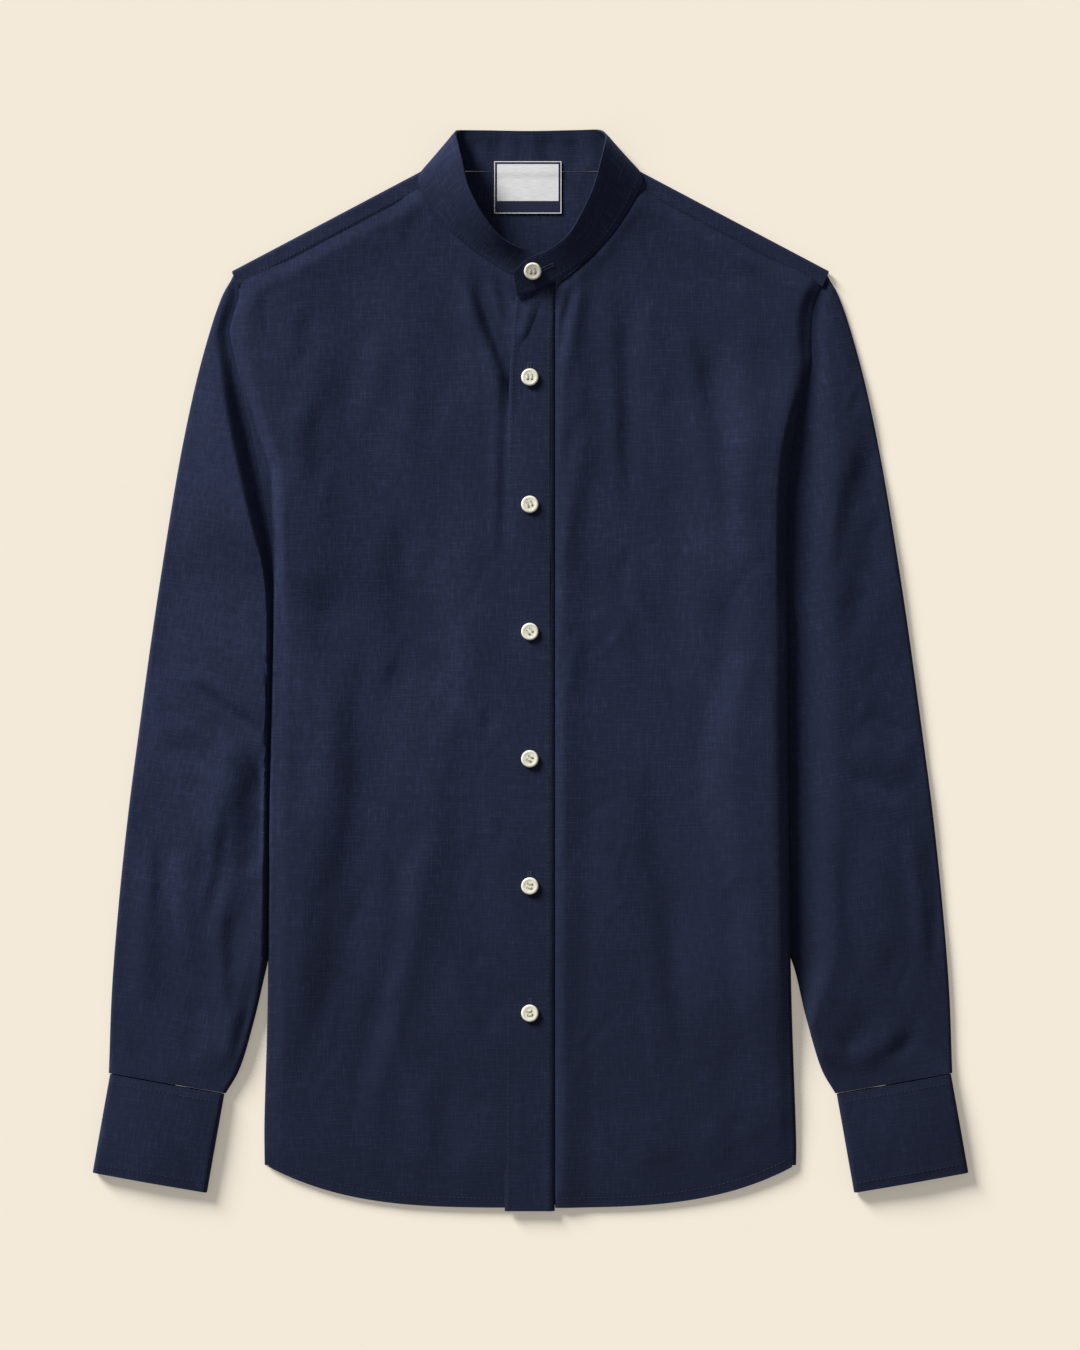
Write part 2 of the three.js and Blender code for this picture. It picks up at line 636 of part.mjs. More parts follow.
// Cuff: one stiff strip round the wrist, lapped and buttoned on the side that lies underneath.
function cuff(side) {
  const place = cuffFrame(side);
  const half = CUFF_WIDTH / 2 - CUFF_CLOTH / 2;
  const base = CUFF_CLOTH / 2;
  const lapRise = CUFF_CLOTH + SEAM;
  const topZ = base + 2 * lapRise;
  const [rampStart, rampEnd] = CUFF_UNDERLAP_RAMP.map((reach) => CUFF_LAP_END - reach);
  const section = (l) => {
    const lap = (w) => base + cuffLift(w, l);
    const underlap = (w) => lap(w) + lapRise * ease(rampStart, rampEnd, w);
    const top = (w) => topZ + cuffLift(w, l);
    const turn = (sign, low) => [-60, -25, 25, 60].map((degrees) => {
      const angle = THREE.MathUtils.degToRad(degrees);
      const radius = (topZ - low) / 2;
      const w = sign * (half - radius + radius * Math.cos(angle));
      return [w, (topZ + low) / 2 + radius * Math.sin(angle)];
    });
    const flat = half - (topZ - base) / 2;
    return [
      ...spread(5, CUFF_LAP_END, flat).map((w) => [w, lap(w)]),
      ...turn(1, base),
      ...spread(8, flat, -flat).map((w) => [w, top(w)]),
      ...turn(-1, base).reverse(),
      ...[-flat, -28, rampStart, lerp(rampStart, rampEnd, 0.55), rampEnd, 4,
        CUFF_UNDERLAP_END].map((w) => [w, underlap(w)]),
    ];
  };
  const rows = spread(6, SEAM, CUFF_LENGTH).map((l) => section(l).map(([w, z]) => place(w, l, z)));
  return new Surface().grid(rows).wall(CUFF_CLOTH);
}

// Button: a turned disc with a raised rim and four sewing holes.
function buttonGeometry(wasm) {
  const radius = BUTTON_DIAMETER / 2;
  const top = BUTTON_THICKNESS;
  const round = BUTTON_EDGE_ROUND;
  const profile = [[0, 0], [radius - round, 0], [radius, round], [radius, top - round / 2],
    [radius - round, top], [radius - BUTTON_RIM, top - BUTTON_RECESS], [0, top - BUTTON_RECESS]];
  const outline = profile.map(([x, y]) => new THREE.Vector2(x, y));
  const lathe = new THREE.LatheGeometry(outline, BUTTON_SIDES);
  lathe.rotateX(Math.PI / 2);
  let solid = toSolid(wasm, lathe);
  for (const [sx, sy] of [[-1, -1], [1, -1], [1, 1], [-1, 1]]) {
    const hole = new THREE.CylinderGeometry(BUTTON_HOLE / 2, BUTTON_HOLE / 2, 3 * top, 6);
    hole.rotateX(Math.PI / 2);
    hole.translate(sx * BUTTON_HOLE_PITCH / 2, sy * BUTTON_HOLE_PITCH / 2, 0);
    solid = solid.subtract(toSolid(wasm, hole));
  }
  return fromSolid(solid);
}

function toSolid(wasm, geometry) {
  const corners = geometry.attributes.position;
  const index = geometry.index ? [...geometry.index.array] : [...Array(corners.count).keys()];
  const known = new Map();
  const vertices = [];
  const shared = index.map((id) => {
    const p = [corners.getX(id), corners.getY(id), corners.getZ(id)];
    const key = p.map((n) => Math.round(n * 10000)).join();
    if (!known.has(key)) {
      known.set(key, vertices.length / 3);
      vertices.push(...p);
    }
    return known.get(key);
  });
  const triangles = [];
  for (let k = 0; k < shared.length; k += 3) {
    const [a, b, c] = shared.slice(k, k + 3);
    if (a !== b && b !== c && c !== a) triangles.push(a, b, c);
  }
  return new wasm.Manifold(new wasm.Mesh({
    numProp: 3,
    vertProperties: new Float32Array(vertices),
    triVerts: new Uint32Array(triangles),
  }));
}

function fromSolid(solid) {
  const mesh = solid.getMesh();
  const geometry = new THREE.BufferGeometry();
  geometry.setAttribute('position', new THREE.BufferAttribute(mesh.vertProperties, 3));
  geometry.setIndex([...mesh.triVerts]);
  geometry.computeVertexNormals();
  return geometry;
}

// Neck label: a blank woven patch over the seam between the band and the yoke.
function label() {
  const rows = [0, 0.25, 1].map((v) => [-0.5, 0.5].map((u) => {
    const y = LABEL.top - v * LABEL.length;
    const rest = v < LABEL.overBand ? BAND_CLOTH : CLOTH;
    const z = rest + LABEL.gap + LABEL.cloth / 2;
    return new THREE.Vector3(LABEL.x + u * LABEL.width, y, z);
  }));
  return new Surface().grid(rows).wall(LABEL.cloth);
}

const wasm = await Module();
wasm.setup();

addPiece('back', backPanel(), 'linen');
addPiece('yoke', yoke(), 'linen');
addPiece('front_right', frontPanel(-1), 'linen');
addPiece('front_left', frontPanel(1), 'linen');
addPiece('placket', placket(), 'linen');
addPiece('collar_band', band(), 'linen');
for (const [name, side] of [['right', -1], ['left', 1]]) {
  addPiece(`sleeve_${name}`, sleeve(side), 'sleeve');
  addPiece(`cuff_${name}`, cuff(side), 'linen');
}
addPiece('neck_label', label(), 'label');

const collarButton = addPiece('button_1', buttonGeometry(wasm), 'button');
collarButton.position.set(COLLAR_BUTTON.x, COLLAR_BUTTON.y, COLLAR_BUTTON.z);
collarButton.rotation.x = COLLAR_BUTTON.tilt;
for (let k = 0; k < PLACKET_BUTTONS; k += 1) {
  const button = addPiece(`button_${k + 2}`, buttonGeometry(wasm), 'button');
  const seat = PLACKET_Z + PLACKET_CAMBER + PLACKET_CLOTH / 2 + SEAM;
  button.position.set(BUTTON_X, BUTTON_TOP_Y - k * BUTTON_STEP, seat);
}
for (const [name, side] of [['right', -1], ['left', 1]]) {
  const button = addPiece(`cuff_button_${name}`, buttonGeometry(wasm), 'button');
  const spot = cuffFrame(side)(CUFF_BUTTON.w, CUFF_BUTTON.l, BUTTON_THICKNESS);
  button.position.copy(spot);
  button.rotation.x = Math.PI;
}

export default shirt;
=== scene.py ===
"""Mandarin collar linen shirt, laid flat: cloth, stitching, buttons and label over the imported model.

Lengths in the functions and tables are millimetres, and meshes are made in metres. +Y points to
the collar, +X to the wearer's left, +Z up. "Right" and "left" are the wearer's.
"""

import math

import bpy
import numpy as np
from mathutils import Matrix, Vector


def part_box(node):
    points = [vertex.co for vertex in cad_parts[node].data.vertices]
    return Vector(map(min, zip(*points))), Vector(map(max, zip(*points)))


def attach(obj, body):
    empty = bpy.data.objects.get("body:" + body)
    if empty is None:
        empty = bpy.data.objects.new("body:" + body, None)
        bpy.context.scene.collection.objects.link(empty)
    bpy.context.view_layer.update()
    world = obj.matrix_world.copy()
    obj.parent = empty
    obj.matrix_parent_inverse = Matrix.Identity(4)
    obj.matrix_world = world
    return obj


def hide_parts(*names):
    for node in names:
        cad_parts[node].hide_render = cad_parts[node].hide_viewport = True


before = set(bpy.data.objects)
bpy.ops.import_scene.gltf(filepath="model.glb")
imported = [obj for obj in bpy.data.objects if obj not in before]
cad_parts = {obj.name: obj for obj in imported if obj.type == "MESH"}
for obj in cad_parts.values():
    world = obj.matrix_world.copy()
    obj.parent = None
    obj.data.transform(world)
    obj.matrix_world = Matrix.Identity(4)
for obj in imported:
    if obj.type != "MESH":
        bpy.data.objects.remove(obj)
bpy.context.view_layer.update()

bl_info = {
    "name": "Mandarin collar linen shirt",
    "version": (1, 0, 0),
    "blender": (4, 5, 0),
    "location": "3D View > Sidebar > Shirt",
    "description": "Makes a shirt that is laid flat, with its linen, stitching, buttons and label",
    "category": "Add Mesh",
}

MM = 0.001
RIGHT, LEFT = -1, 1
SIDE_NAMES = {RIGHT: "right", LEFT: "left"}

# Cut of the body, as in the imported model.
CAD_CLOTH = 1.4
HEM_LOW_Y = -392.3
HEM_RISE = 31
HEM_HALF_WIDTH = 193
HEM_POWER = 3.4
BACK_SHORTER = 2
PANEL_SPACE = 2.1
SIDE_SPACE = 4.8
SIDE_SPACE_REACH = 88
ROLL_WIDTH = 2.6
ROLL_GAP = 0.8
STAND_REACH = 14
NECK_POINT_X = 80.3
SHOULDER_X = 82.9
SHOULDER_Y = 361.7
SHOULDER_SLOPE = 0.528
SHOULDER_TIP_X = 218
SHOULDER_TIP_Y = 279
YOKE_BACK_Y = 262
YOKE_FRONT_DEPTH = 14
YOKE_SEAM = -1.6
YOKE_STEP = 0.7
YOKE_RISE_REACH = 45
SHOULDER_SPACE = 3.6
PLACKET_RIGHT_X = 17.3
PLACKET_TOP_Y = 273.5
PLACKET_HEM_Y = -394.6
PLACKET_Z = 4.75
PLACKET_CAMBER = 0.15
PLACKET_TOP_SLANT = 11
PLACKET_GAP = 0.9
SEAM = 0.35
UNDERARM_Y = 80
SLEEVE_SEAM_SPACE = 1.5
SLEEVE_CROWN_SPACE = 4.2
SLEEVE_END_SPACE = 4.6
TUCK_LIFT = {RIGHT: 2.4, LEFT: 4.3}
SIDE_FLATTER = {RIGHT: 0.55, LEFT: 0}
TUCK_START = 46
TUCK_RAMP = 28
TUCK_LEAST = 14
TUCK_MARGIN = 6
ARMHOLE_TOP_Y = 288.6
ARMHOLE_LAP = 1.4
ARMHOLE_BOW_REACH = 0.3
SLEEVE_FAN = 1.25
CUFF_LENGTH = 73
CUFF_WIDTH = 85
CUFF_LAP_END = -6
CUFF_UNDERLAP_END = 12
CUFF_SEAM_OUTER = (306.6, -294.4)
CUFF_SEAM_INNER = (222.9, -309.2)
CUFF_BUTTON = (3, 36.5)
CUFF_CLOTH = 2.0
CUFF_SHELL = 1.6
CUFF_LAP_RISE = CUFF_CLOTH + SEAM
CUFF_BUTTON_RISE = 2.9
CUFF_TOP_REACH = 66
BAND_CLOTH = 1.5
BAND_HEIGHT = 31

# Buttons and buttonholes. The collar's button has x, y, z and a tilt in radians.
BUTTON_X = -0.5
BUTTON_TOP_Y = 212.8
BUTTON_STEP = 92.6
PLACKET_BUTTONS = 6
COLLAR_BUTTON = (1.6, 289.4, 12.1)
COLLAR_BUTTON_TILT = 0.26
BUTTON_HEIGHT = 2.3
BUTTON_SPIN = 0.35
BUTTON_SHARP_ANGLE = 50
PLACKET_HOLE_LENGTH = 17
COLLAR_HOLE_LENGTH = 16
HOLE_HALF_WIDTH = 0.95
HOLE_STITCH_PITCH = 0.56
HOLE_STITCH = (1.7, 0.62)

# Places of the rows of stitches: from the hem, from the shoulder line and down the cuff.
HEM_STITCHES = 7
YOKE_STITCHES = 11.8
CUFF_STITCHES = (6.4, 66)
CUFF_STITCHES_HALF = 38
PLACKET_STITCH_COLUMNS = (2, 18)
BAND_STITCH_ROW = 2
BAND_STITCH_SINK = 0.7

# The label. Its field ends at a share of its length, and its layers are raised by steps.
LABEL_WIDTH = 49
LABEL_LENGTH = 38
LABEL_X = -2
LABEL_TOP_Y = 370.6
LABEL_CLOTH = 0.5
LABEL_LAYER = 0.3
LABEL_RAISED = 0.16
LABEL_FIELD_END = 0.76
LABEL_OUTLINE = 0.6

# The stage. Lengths are in metres here, as Blender has them.
CAMERA_PLACE = (0.0069, -0.0040)
CAMERA_SENSOR = 36
FLOOR_REACH = 6.0
FLOOR_Z = -0.00015
KEY_FROM = (-0.60, 0.66, 0.342)
KEY_ANGLE = 21
KEY_COLOUR = (1.0, 0.99, 0.97)
FILL_COLOUR = (1.0, 0.985, 0.96, 1)

CLOTH_SHARP_ANGLE = 48
SLEEVE_TURN = 10
SLEEVE_UV_SHIFT = 700
CUFF_UV_SHIFT = 1500

# Height that the laid cloth swells over the solids, beside the armholes and on the sleeves.
SIDE_PUFF = {RIGHT: 4.8, LEFT: 7.4}
PUFF_TOP = {RIGHT: (262, 170), LEFT: (232, 160)}
PUFF_BELOW = {RIGHT: 0, LEFT: 0.4}
SLEEVE_PUFF = 3.4
GROOVE_PUFF = {RIGHT: 4.6, LEFT: -1.4}
LIP_END = {RIGHT: (58, 116), LEFT: (-260, -180)}
CROWN_FALL = {RIGHT: 0.78, LEFT: 0.76}
NECK_LIFT = {RIGHT: 2.1, LEFT: 1.2}
FRONT_LOFT = 2.0
HEM_THINNER = 0.55
FLANK_FALL = 2.4
FLANK_SOFTER = 4

# Outline tables, from the shoulder down. Columns: y, distance from the centre line.
RIGHT_EDGE = (
    (291, 218), (275, 212.5), (258, 217), (246, 219.5), (228, 216), (208, 211.5), (188, 207),
    (160, 201), (127, 195.3), (94, 190.4), (64, 187.6), (0, 188.2), (-100, 190.2),
    (-240, 191.6), (-330, 194.2), (-365, 194),
)
LEFT_EDGE = (
    (291, 218), (276, 211.5), (262, 206.4), (240, 205), (222, 205), (205, 201), (188, 196.4),
    (168, 192), (150, 189.2), (128, 187.7), (100, 187.2), (0, 187.2), (-168, 188.7),
    (-241, 190.2), (-300, 192.4), (-345, 193.9), (-365, 193.7),
)
# Outer edge of a sleeve. Columns: distance from the centre line, y.
SLEEVE_OUTER = (
    (218.6, 290), (221.6, 283.5), (225.6, 276), (231, 261), (235, 247), (240.4, 226),
    (245.4, 204), (254, 160), (265, 94.5), (275, 28.8), (284, -36.9), (292.6, -102.6),
    (299.6, -168.3), (304.8, -234), (307, -294),
)
SLEEVE_OUTER_BY_Y = tuple((y, distance) for distance, y in SLEEVE_OUTER)
# How far a sleeve's inner edge is tucked under the body's side. Columns: y, distance.
SLEEVE_TUCK = (
    (80, -1.15), (54, -1.15), (30, 6), (0, 19), (-30, 28), (-62, 33), (-104, 31), (-150, 18.5),
    (-190, 5), (-208, -0.5),
)
# Inner edge of a sleeve below the place where it comes out. Columns: distance, y.
SLEEVE_INNER_LOW = ((193.6, -220), (202, -256), (213, -292), (222.6, -308.6))
# Neck edges of the two fronts, hidden under the band. Columns: distance to the side, y.
RIGHT_NECK = ((86, 360), (78.5, 352), (70.5, 339.5), (49, 316), (32, 303), (19, 295.4),
              (8, 290.4), (-20, 289))
LEFT_NECK = ((86, 360), (78, 350), (66, 333.5), (52, 316), (36, 300), (26, 290.8),
             (16, 285.4), (-20, 280))
# Left edge of the placket. Columns: y, x.
PLACKET_EDGE = ((274, -10.8), (252, -12.8), (217, -15), (170, -16.4), (122, -17.2),
                (70, -18.3), (-395, -18.6))
# The band, from its under end at the front, round the back of the neck to its upper end.
# Columns: lower edge x, y, z, then upper edge x, y, z.
BAND = (
    (12, 291, 4.95, 12, 303.1, 7.4),
    (-12.8, 287.3, 4.95, -2.6, 305.1, 7.8),
    (-34, 299.7, 4.95, -20.7, 313.5, 15),
    (-51.5, 312.8, 5.1, -35.2, 330.9, 20.4),
    (-67, 328.4, 5.4, -45.2, 350.5, 22.8),
    (-78.4, 344.6, 5.8, -49.4, 368.6, 22.6),
    (-81.6, 356.6, 6.0, -52.6, 382, 18.6),
    (-79, 362.6, 5.2, -54.4, 388.6, 12),
    (-77.4, 364.3, 3, -53.6, 391.9, 6.4),
    (-72, 364.4, 0.95, -49.4, 393.2, 2.8),
    (-44, 363.8, 0.9, -36, 393.4, 1.5),
    (0, 363.8, 0.9, 0, 392.9, 1.4),
    (44, 363.8, 0.9, 36, 393.6, 1.5),
    (72, 364.4, 0.95, 46.6, 393.6, 2.8),
    (77.4, 364.3, 3, 51.8, 391.8, 6.4),
    (79, 362.6, 5.4, 54.8, 387.6, 12),
    (81.2, 355.6, 6.5, 53.8, 381, 18.6),
    (74.8, 341, 6.3, 50.8, 368.2, 20),
    (65.4, 325.6, 5.8, 45.6, 350, 18.2),
    (52.4, 309.4, 5.7, 38, 333.3, 16.4),
    (36, 294.6, 6.2, 27.2, 315.4, 15),
    (18.6, 283.2, 6.9, 12.7, 304.5, 13.8),
    (0, 275, 7, -3.6, 297.1, 13.4),
    (-9.6, 271.4, 7, -12.5, 288.6, 12.2),
)
# Folds of the fronts. Columns: x and y of each point along the fold, half width, height.
# A negative height is a trough.
FRONT_FOLDS = (
    ((-104, 130, -122, 45, -143, -40, -153, -112, -160, -170, -176, -245), 15, 1.04),
    ((-90, 121, -100, 67, -119, 19, -130, -54, -130, -117, -144, -176, -163, -239, -183, -297),
     10, -0.76),
    ((-37, 48, -57, -30, -71, -93, -90, -176, -119, -250), 13, 1.12),
    ((-30, -60, -45, -130, -62, -215, -80, -290), 12, -0.48),
    ((-52, 284, -43, 230, -32, 175), 8, 0.68),
    ((-40, 288, -31, 255, -24, 222, -22, 165), 6, -0.56),
    ((-62, 292, -58, 250, -50, 200), 9, -0.4),
    ((-84, 346, -86, 326, -92, 300), 5, -0.52),
    ((-68, 338, -72, 318, -80, 290), 6, 0.44),
    ((-140, 214, -152, 186, -165, 156), 9, -0.52),
    ((-150, 250, -160, 200, -172, 150), 11, 0.6),
    ((-165, 262, -166, 240, -165, 214), 6, -0.48),
    ((-190, 284, -192, 262, -190, 240), 5, -0.44),
    ((-178, 280, -180, 255, -178, 232), 5, 0.36),
    ((-120, 300, -126, 262, -131, 226), 10, -0.28),
    ((-100, -255, -112, -300, -119, -350), 15, 0.6),
    ((-186, -275, -185, -320, -176, -352), 10, -0.52),
    ((-60, 150, -70, 90, -76, 30), 12, -0.36),
    ((33, 258, 38, 200, 46, 110), 10, 0.8),
    ((68, 276, 71, 200, 73, 108), 9, -0.6),
    ((84, 280, 90, 200, 89, 110), 12, 0.76),
    ((99, 287, 124, 238, 138, 189, 146, 136), 9, -0.6),
    ((150, 235, 155, 170, 158, 100), 13, 0.76),
    ((176, 250, 174, 200, 172, 150), 9, -0.36),
    ((112, 66, 108, 0, 100, -112), 15, 0.84),
    ((60, 60, 62, -10, 58, -80), 12, -0.4),
    ((75, -68, 89, -152, 104, -249, 114, -312), 10, -0.72),
    ((58, -60, 66, -150, 76, -250), 13, 0.76),
    ((128, -110, 136, -200, 142, -310), 14, 0.76),
    ((160, 40, 164, -60, 160, -160), 12, -0.44),
    ((36, -120, 40, -220, 44, -330), 11, -0.44),
    ((86, -318, 94, -340, 102, -362), 14, 0.52),
)
# Folds of the sleeves, with the same columns.
SLEEVE_FOLDS = (
    ((-256, 2, -226, -16, -196, -40), 5.5, 1.8),
    ((-256, -5, -222, -27, -188, -54), 5, -1.8),
    ((-266, -32, -235, -50, -204, -72), 5.5, 1.7),
    ((-270, -50, -240, -66, -214, -84), 4.5, -1.4),
    ((-230, -40, -212, -60, -198, -80), 5, 0.8),
    ((-198, -74, -206, -100, -204, -132), 9, -1.4),
    ((-197, -117, -212, -161, -232, -219), 8, -1.6),
    ((-270, -117, -272, -146, -271, -175), 5, -1.0),
    ((-234, -117, -236, -150, -235, -183), 6, -1.0),
    ((-278, -120, -281, -190, -282, -262), 9, 1.5),
    ((-250, -118, -252, -170, -250, -226), 9, 1.2),
    ((-226, -150, -225, -210, -222, -268), 6, 1.3),
    ((-197, -219, -208, -255, -219, -292), 5, -0.9),
    ((-240, -232, -246, -262, -250, -290), 8, -0.9),
    ((-230, 232, -230, 190, -232, 140), 12, 1.2),
    ((-252, 120, -262, 60, -268, 0), 10, -0.8),
    ((214, 196, 210, 150, 204, 92), 8, 1.0),
    ((240, 165, 221, 68, 202, -6), 10, -1.6),
    ((246, 150, 236, 80, 222, 20), 11, 1.6),
    ((232, -52, 256, -62, 280, -78), 9, 1.4),
    ((230, -72, 252, -84, 274, -100), 6, -1.2),
    ((240, -30, 258, -38, 276, -50), 6, -0.9),
    ((282, -108, 290, -166, 297, -225), 5, -1.1),
    ((276, -104, 282, -166, 289, -228), 6, 1.2),
    ((236, -292, 254, -275, 272, -254), 9, 1.3),
    ((224, -282, 240, -266, 256, -246), 8, -1.0),
    ((256, -288, 270, -277, 284, -262), 6, -1.2),
    ((250, -110, 257, -170, 262, -230), 13, 1.4),
    ((226, -120, 232, -180, 240, -240), 8, -1.1),
)
# Places where a front falls one way, towards the wearer's left. Columns: x and y of each point
# along the middle of the slope, half width, height. A negative height rises instead.
FRONT_FALLS = (
    ((-91.6, 138, -100, 80, -103, 21, -106, -22, -110, -66), 11, 0.8),
    ((-128, 43, -128, -8, -126, -66, -130, -117, -135, -168, -146, -212, -160, -249, -173, -292,
      -183, -336), 12, 1.0),
    ((-46, 292, -43, 280, -35, 256, -26, 234, -19, 214, -19, 180), 5.5, 3.2),
    ((-28, 292, -22, 268, -18, 240), 3.5, 0.9), ((-20, 226, -22, 150, -24, 60), 3.5, 0.8),
    ((-166, 270, -166, 219), 6, 0.6),
    ((-162, 197, -160, 124), 8, 0.6),
    ((-77, 269, -79, 200, -84, 138), 9, 0.6),
    ((-103, 270, -124, 204, -135, 146), 9, -0.7),
    ((-72, -66, -73, -117, -86, -146, -90, -190, -103, -241, -116, -300, -128, -372), 8, -0.8),
    ((-55, 80, -59, 14, -66, -52), 16, -0.8),
    ((-33, -22, -37, -55), 5, 0.5),
    ((-66, -285, -70, -336, -66, -380), 10, 0.7),
    ((34, 292, 30, 270, 25, 240, 21.5, 208), 5, -1.5),
    ((37.6, 189, 28.8, 146, 23, 102, 20, 69), 6, -0.9),
    ((30, 29, 23, -22), 5, -0.6),
    ((31, 284, 26, 268, 21.5, 250, 20, 225), 3, 0.9),
    ((59.5, 292, 64, 248, 67, 160, 71, 116), 6, 0.7),
    ((80, 269, 80, 226), 7, -0.5),
    ((98, 197, 98, 124), 12, -0.6),
    ((109, 277, 119, 240, 126, 197, 135, 153, 138, 102, 149, 73), 8, 1.0),
    ((142, 262, 149, 197, 160, 164, 165, 131), 9, -0.8),
    ((116, 80, 113, 36, 120, -22), 12, -0.7),
    ((80, -52, 87, -132, 94, -168, 98, -212, 106, -278, 113, -322), 9, 0.9),
    ((138, -322, 149, -365), 9, 0.8),
    ((73, 51, 74, -37), 8, 0.4),
)
# The same for the sleeves.
SLEEVE_FALLS = (
    ((-206, -48, -208, -95, -213, -150), 16, 3.2), ((-222, -90, -229, -140, -236, -188), 5, 0.8),
    ((-199, -139, -210, -168, -221, -198, -228, -223), 8, 1.2),
    ((-208, -241, -214, -270, -218, -296), 6, 1.0),
    ((-267, -117, -270, -154, -274, -183), 5, 0.5),
    ((-230, -146, -235, -183), 5, 0.5),
    ((242, 189, 235, 138, 230, 80, 223, 36, 213, 0), 11, 2.2),
    ((286, -110, 292, -154, 296, -205), 4, 0.8),
    ((222, 270, 233, 233, 246, 197), 6, 0.8),
)
# Where a front falls to its armhole's seam. Columns: y, distance of that slope from the seam.
RIGHT_FLANK = (
    (290, 1.6), (262, 1.6), (222, 3), (183, 6), (160, 9), (146, 11.5), (124, 8.5), (95, 4.5),
    (80, 2.5), (66, 1.6),
)
LEFT_FLANK = ((290, 5), (240, 5), (200, 1.6), (66, 1.6))
# Where a sleeve rises beside the body. Columns: y, width of that slope.
RIGHT_RISE = (
    (290, 7), (262, 9), (222, 12), (183, 15), (153, 15), (109, 12), (80, 8), (50, 5.5), (20, 4.4),
    (-300, 4.4),
)
LEFT_RISE = (
    (290, 7), (262, 9), (222, 14), (189, 24), (168, 31), (146, 35), (-200, 35), (-240, 22),
    (-270, 9),
)
# Share of its full height that a sleeve's crown has. Columns: y, share.
SLEEVE_HEAD = (
    (290, 0.16), (262, 0.26), (232, 0.42), (205, 0.6), (178, 0.85), (150, 1), (-300, 1),
)
# Soft ridges across the back of the band.
BAND_FOLDS = (
    ((-45, 362, -37, 394), 6, 1.2), ((-25, 362, -23, 394), 5, 2.0),
    ((-7, 362, -7, 394), 5, 1.7), ((13, 362, 11, 394), 6, 2.0), ((37, 362, 31, 394), 7, 1.6),
    ((60, 362, 45, 394), 6, 1.2),
)

def to_linear(code):
    """Linear colour of an sRGB hex value."""
    shares = [int(code[k:k + 2], 16) / 255 for k in (0, 2, 4)]
    return tuple(c / 12.92 if c <= 0.04045 else ((c + 0.055) / 1.055) ** 2.4 for c in shares)


COLOUR = {"subtype": "COLOR", "size": 3, "min": 0, "max": 1}


class ShirtCloth(bpy.types.PropertyGroup):
    """Sizes and colours of the linen and its thread."""

    colour: bpy.props.FloatVectorProperty(
        name="Linen", description="Colour of the linen", default=to_linear("1d2338"), **COLOUR)
    light_thread: bpy.props.FloatVectorProperty(
        name="Light threads", description="Colour of the palest threads in the weave",
        default=to_linear("272e48"), **COLOUR)
    thread: bpy.props.FloatVectorProperty(
        name="Sewing thread", description="Colour of the stitches",
        default=to_linear("20263d"), **COLOUR)
    thickness: bpy.props.FloatProperty(
        name="Cloth thickness", description="Thickness of the cloth with its turnings",
        unit="LENGTH", min=0.0004, max=0.0014, default=0.0011)
    fold_height: bpy.props.FloatProperty(
        name="Fold height", description="Share of the full height of the folds", min=0, max=1.2,
        default=1)
    crumple: bpy.props.FloatProperty(
        name="Crumple", description="Height of the small creases", unit="LENGTH", min=0,
        max=0.001, default=0.00045)
    stitch_pitch: bpy.props.FloatProperty(
        name="Stitch pitch", description="Distance from one stitch to the next", unit="LENGTH",
        min=0.002, max=0.006, default=0.0031)
    stitch_length: bpy.props.FloatProperty(
        name="Stitch length", description="Length of the thread that shows", unit="LENGTH",
        min=0.001, max=0.005, default=0.0023)
    stitch_width: bpy.props.FloatProperty(
        name="Stitch width", description="Thickness of the sewing thread", unit="LENGTH",
        min=0.0002, max=0.001, default=0.00036)


class ShirtButtons(bpy.types.PropertyGroup):
    """Sizes and colours of the buttons."""

    diameter: bpy.props.FloatProperty(
        name="Diameter", description="Outside diameter of a button", unit="LENGTH", min=0.008,
        max=0.016, default=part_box("button_2")[1].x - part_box("button_2")[0].x)
    hole: bpy.props.FloatProperty(
        name="Hole", description="Diameter of a sewing hole", unit="LENGTH", min=0.001,
        max=0.0025, default=0.0017)
    hole_pitch: bpy.props.FloatProperty(
        name="Hole pitch", description="Distance between two sewing holes", unit="LENGTH",
        min=0.002, max=0.004, default=0.0029)
    colour: bpy.props.FloatVectorProperty(
        name="Button", description="Colour of the buttons", default=to_linear("e6e3d2"),
        **COLOUR)
    thread: bpy.props.FloatVectorProperty(
        name="Button thread", description="Colour of the thread in the holes",
        default=to_linear("bdb9a8"), **COLOUR)


class ShirtLabel(bpy.types.PropertyGroup):
    """Sizes and colours of the blank neck label."""

    field: bpy.props.FloatVectorProperty(
        name="Field", description="Colour of the label's field", default=to_linear("dddde0"),
        **COLOUR)
    border: bpy.props.FloatVectorProperty(
        name="Border", description="Colour of the label's border",
        default=to_linear("141b3a"), **COLOUR)
    border_width: bpy.props.FloatProperty(
        name="Border width", description="Width of the border", unit="LENGTH", min=0.0005,
        max=0.005, default=0.0021)


class ShirtStage(bpy.types.PropertyGroup):
    """The surface, the light and the camera."""

    surface: bpy.props.FloatVectorProperty(
        name="Surface", description="Colour of the surface under the shirt",
        default=to_linear("f4ebdc"), **COLOUR)
    # Painted light: a share of the surface's brightness is its own glow, which keeps shadows on it
    # pale.
    painted_glow: bpy.props.FloatProperty(
        name="Glow", description="Share of the surface's brightness that is its own",
        subtype="FACTOR", min=0, max=1, default=0.27)
    camera_height: bpy.props.FloatProperty(
        name="Camera height", description="Height of the camera over the surface",
        unit="LENGTH", min=1, max=5, default=2.327)
    lens: bpy.props.FloatProperty(
        name="Lens", description="Focal length in millimetres", min=35, max=200, default=85)
    key_light: bpy.props.FloatProperty(
        name="Key light", description="Strength of the soft light at the upper left",
        min=0, max=20, default=6.55)
    fill_light: bpy.props.FloatProperty(
        name="Fill light", description="Strength of the even light from all round", min=0,
        max=3, default=0.25)


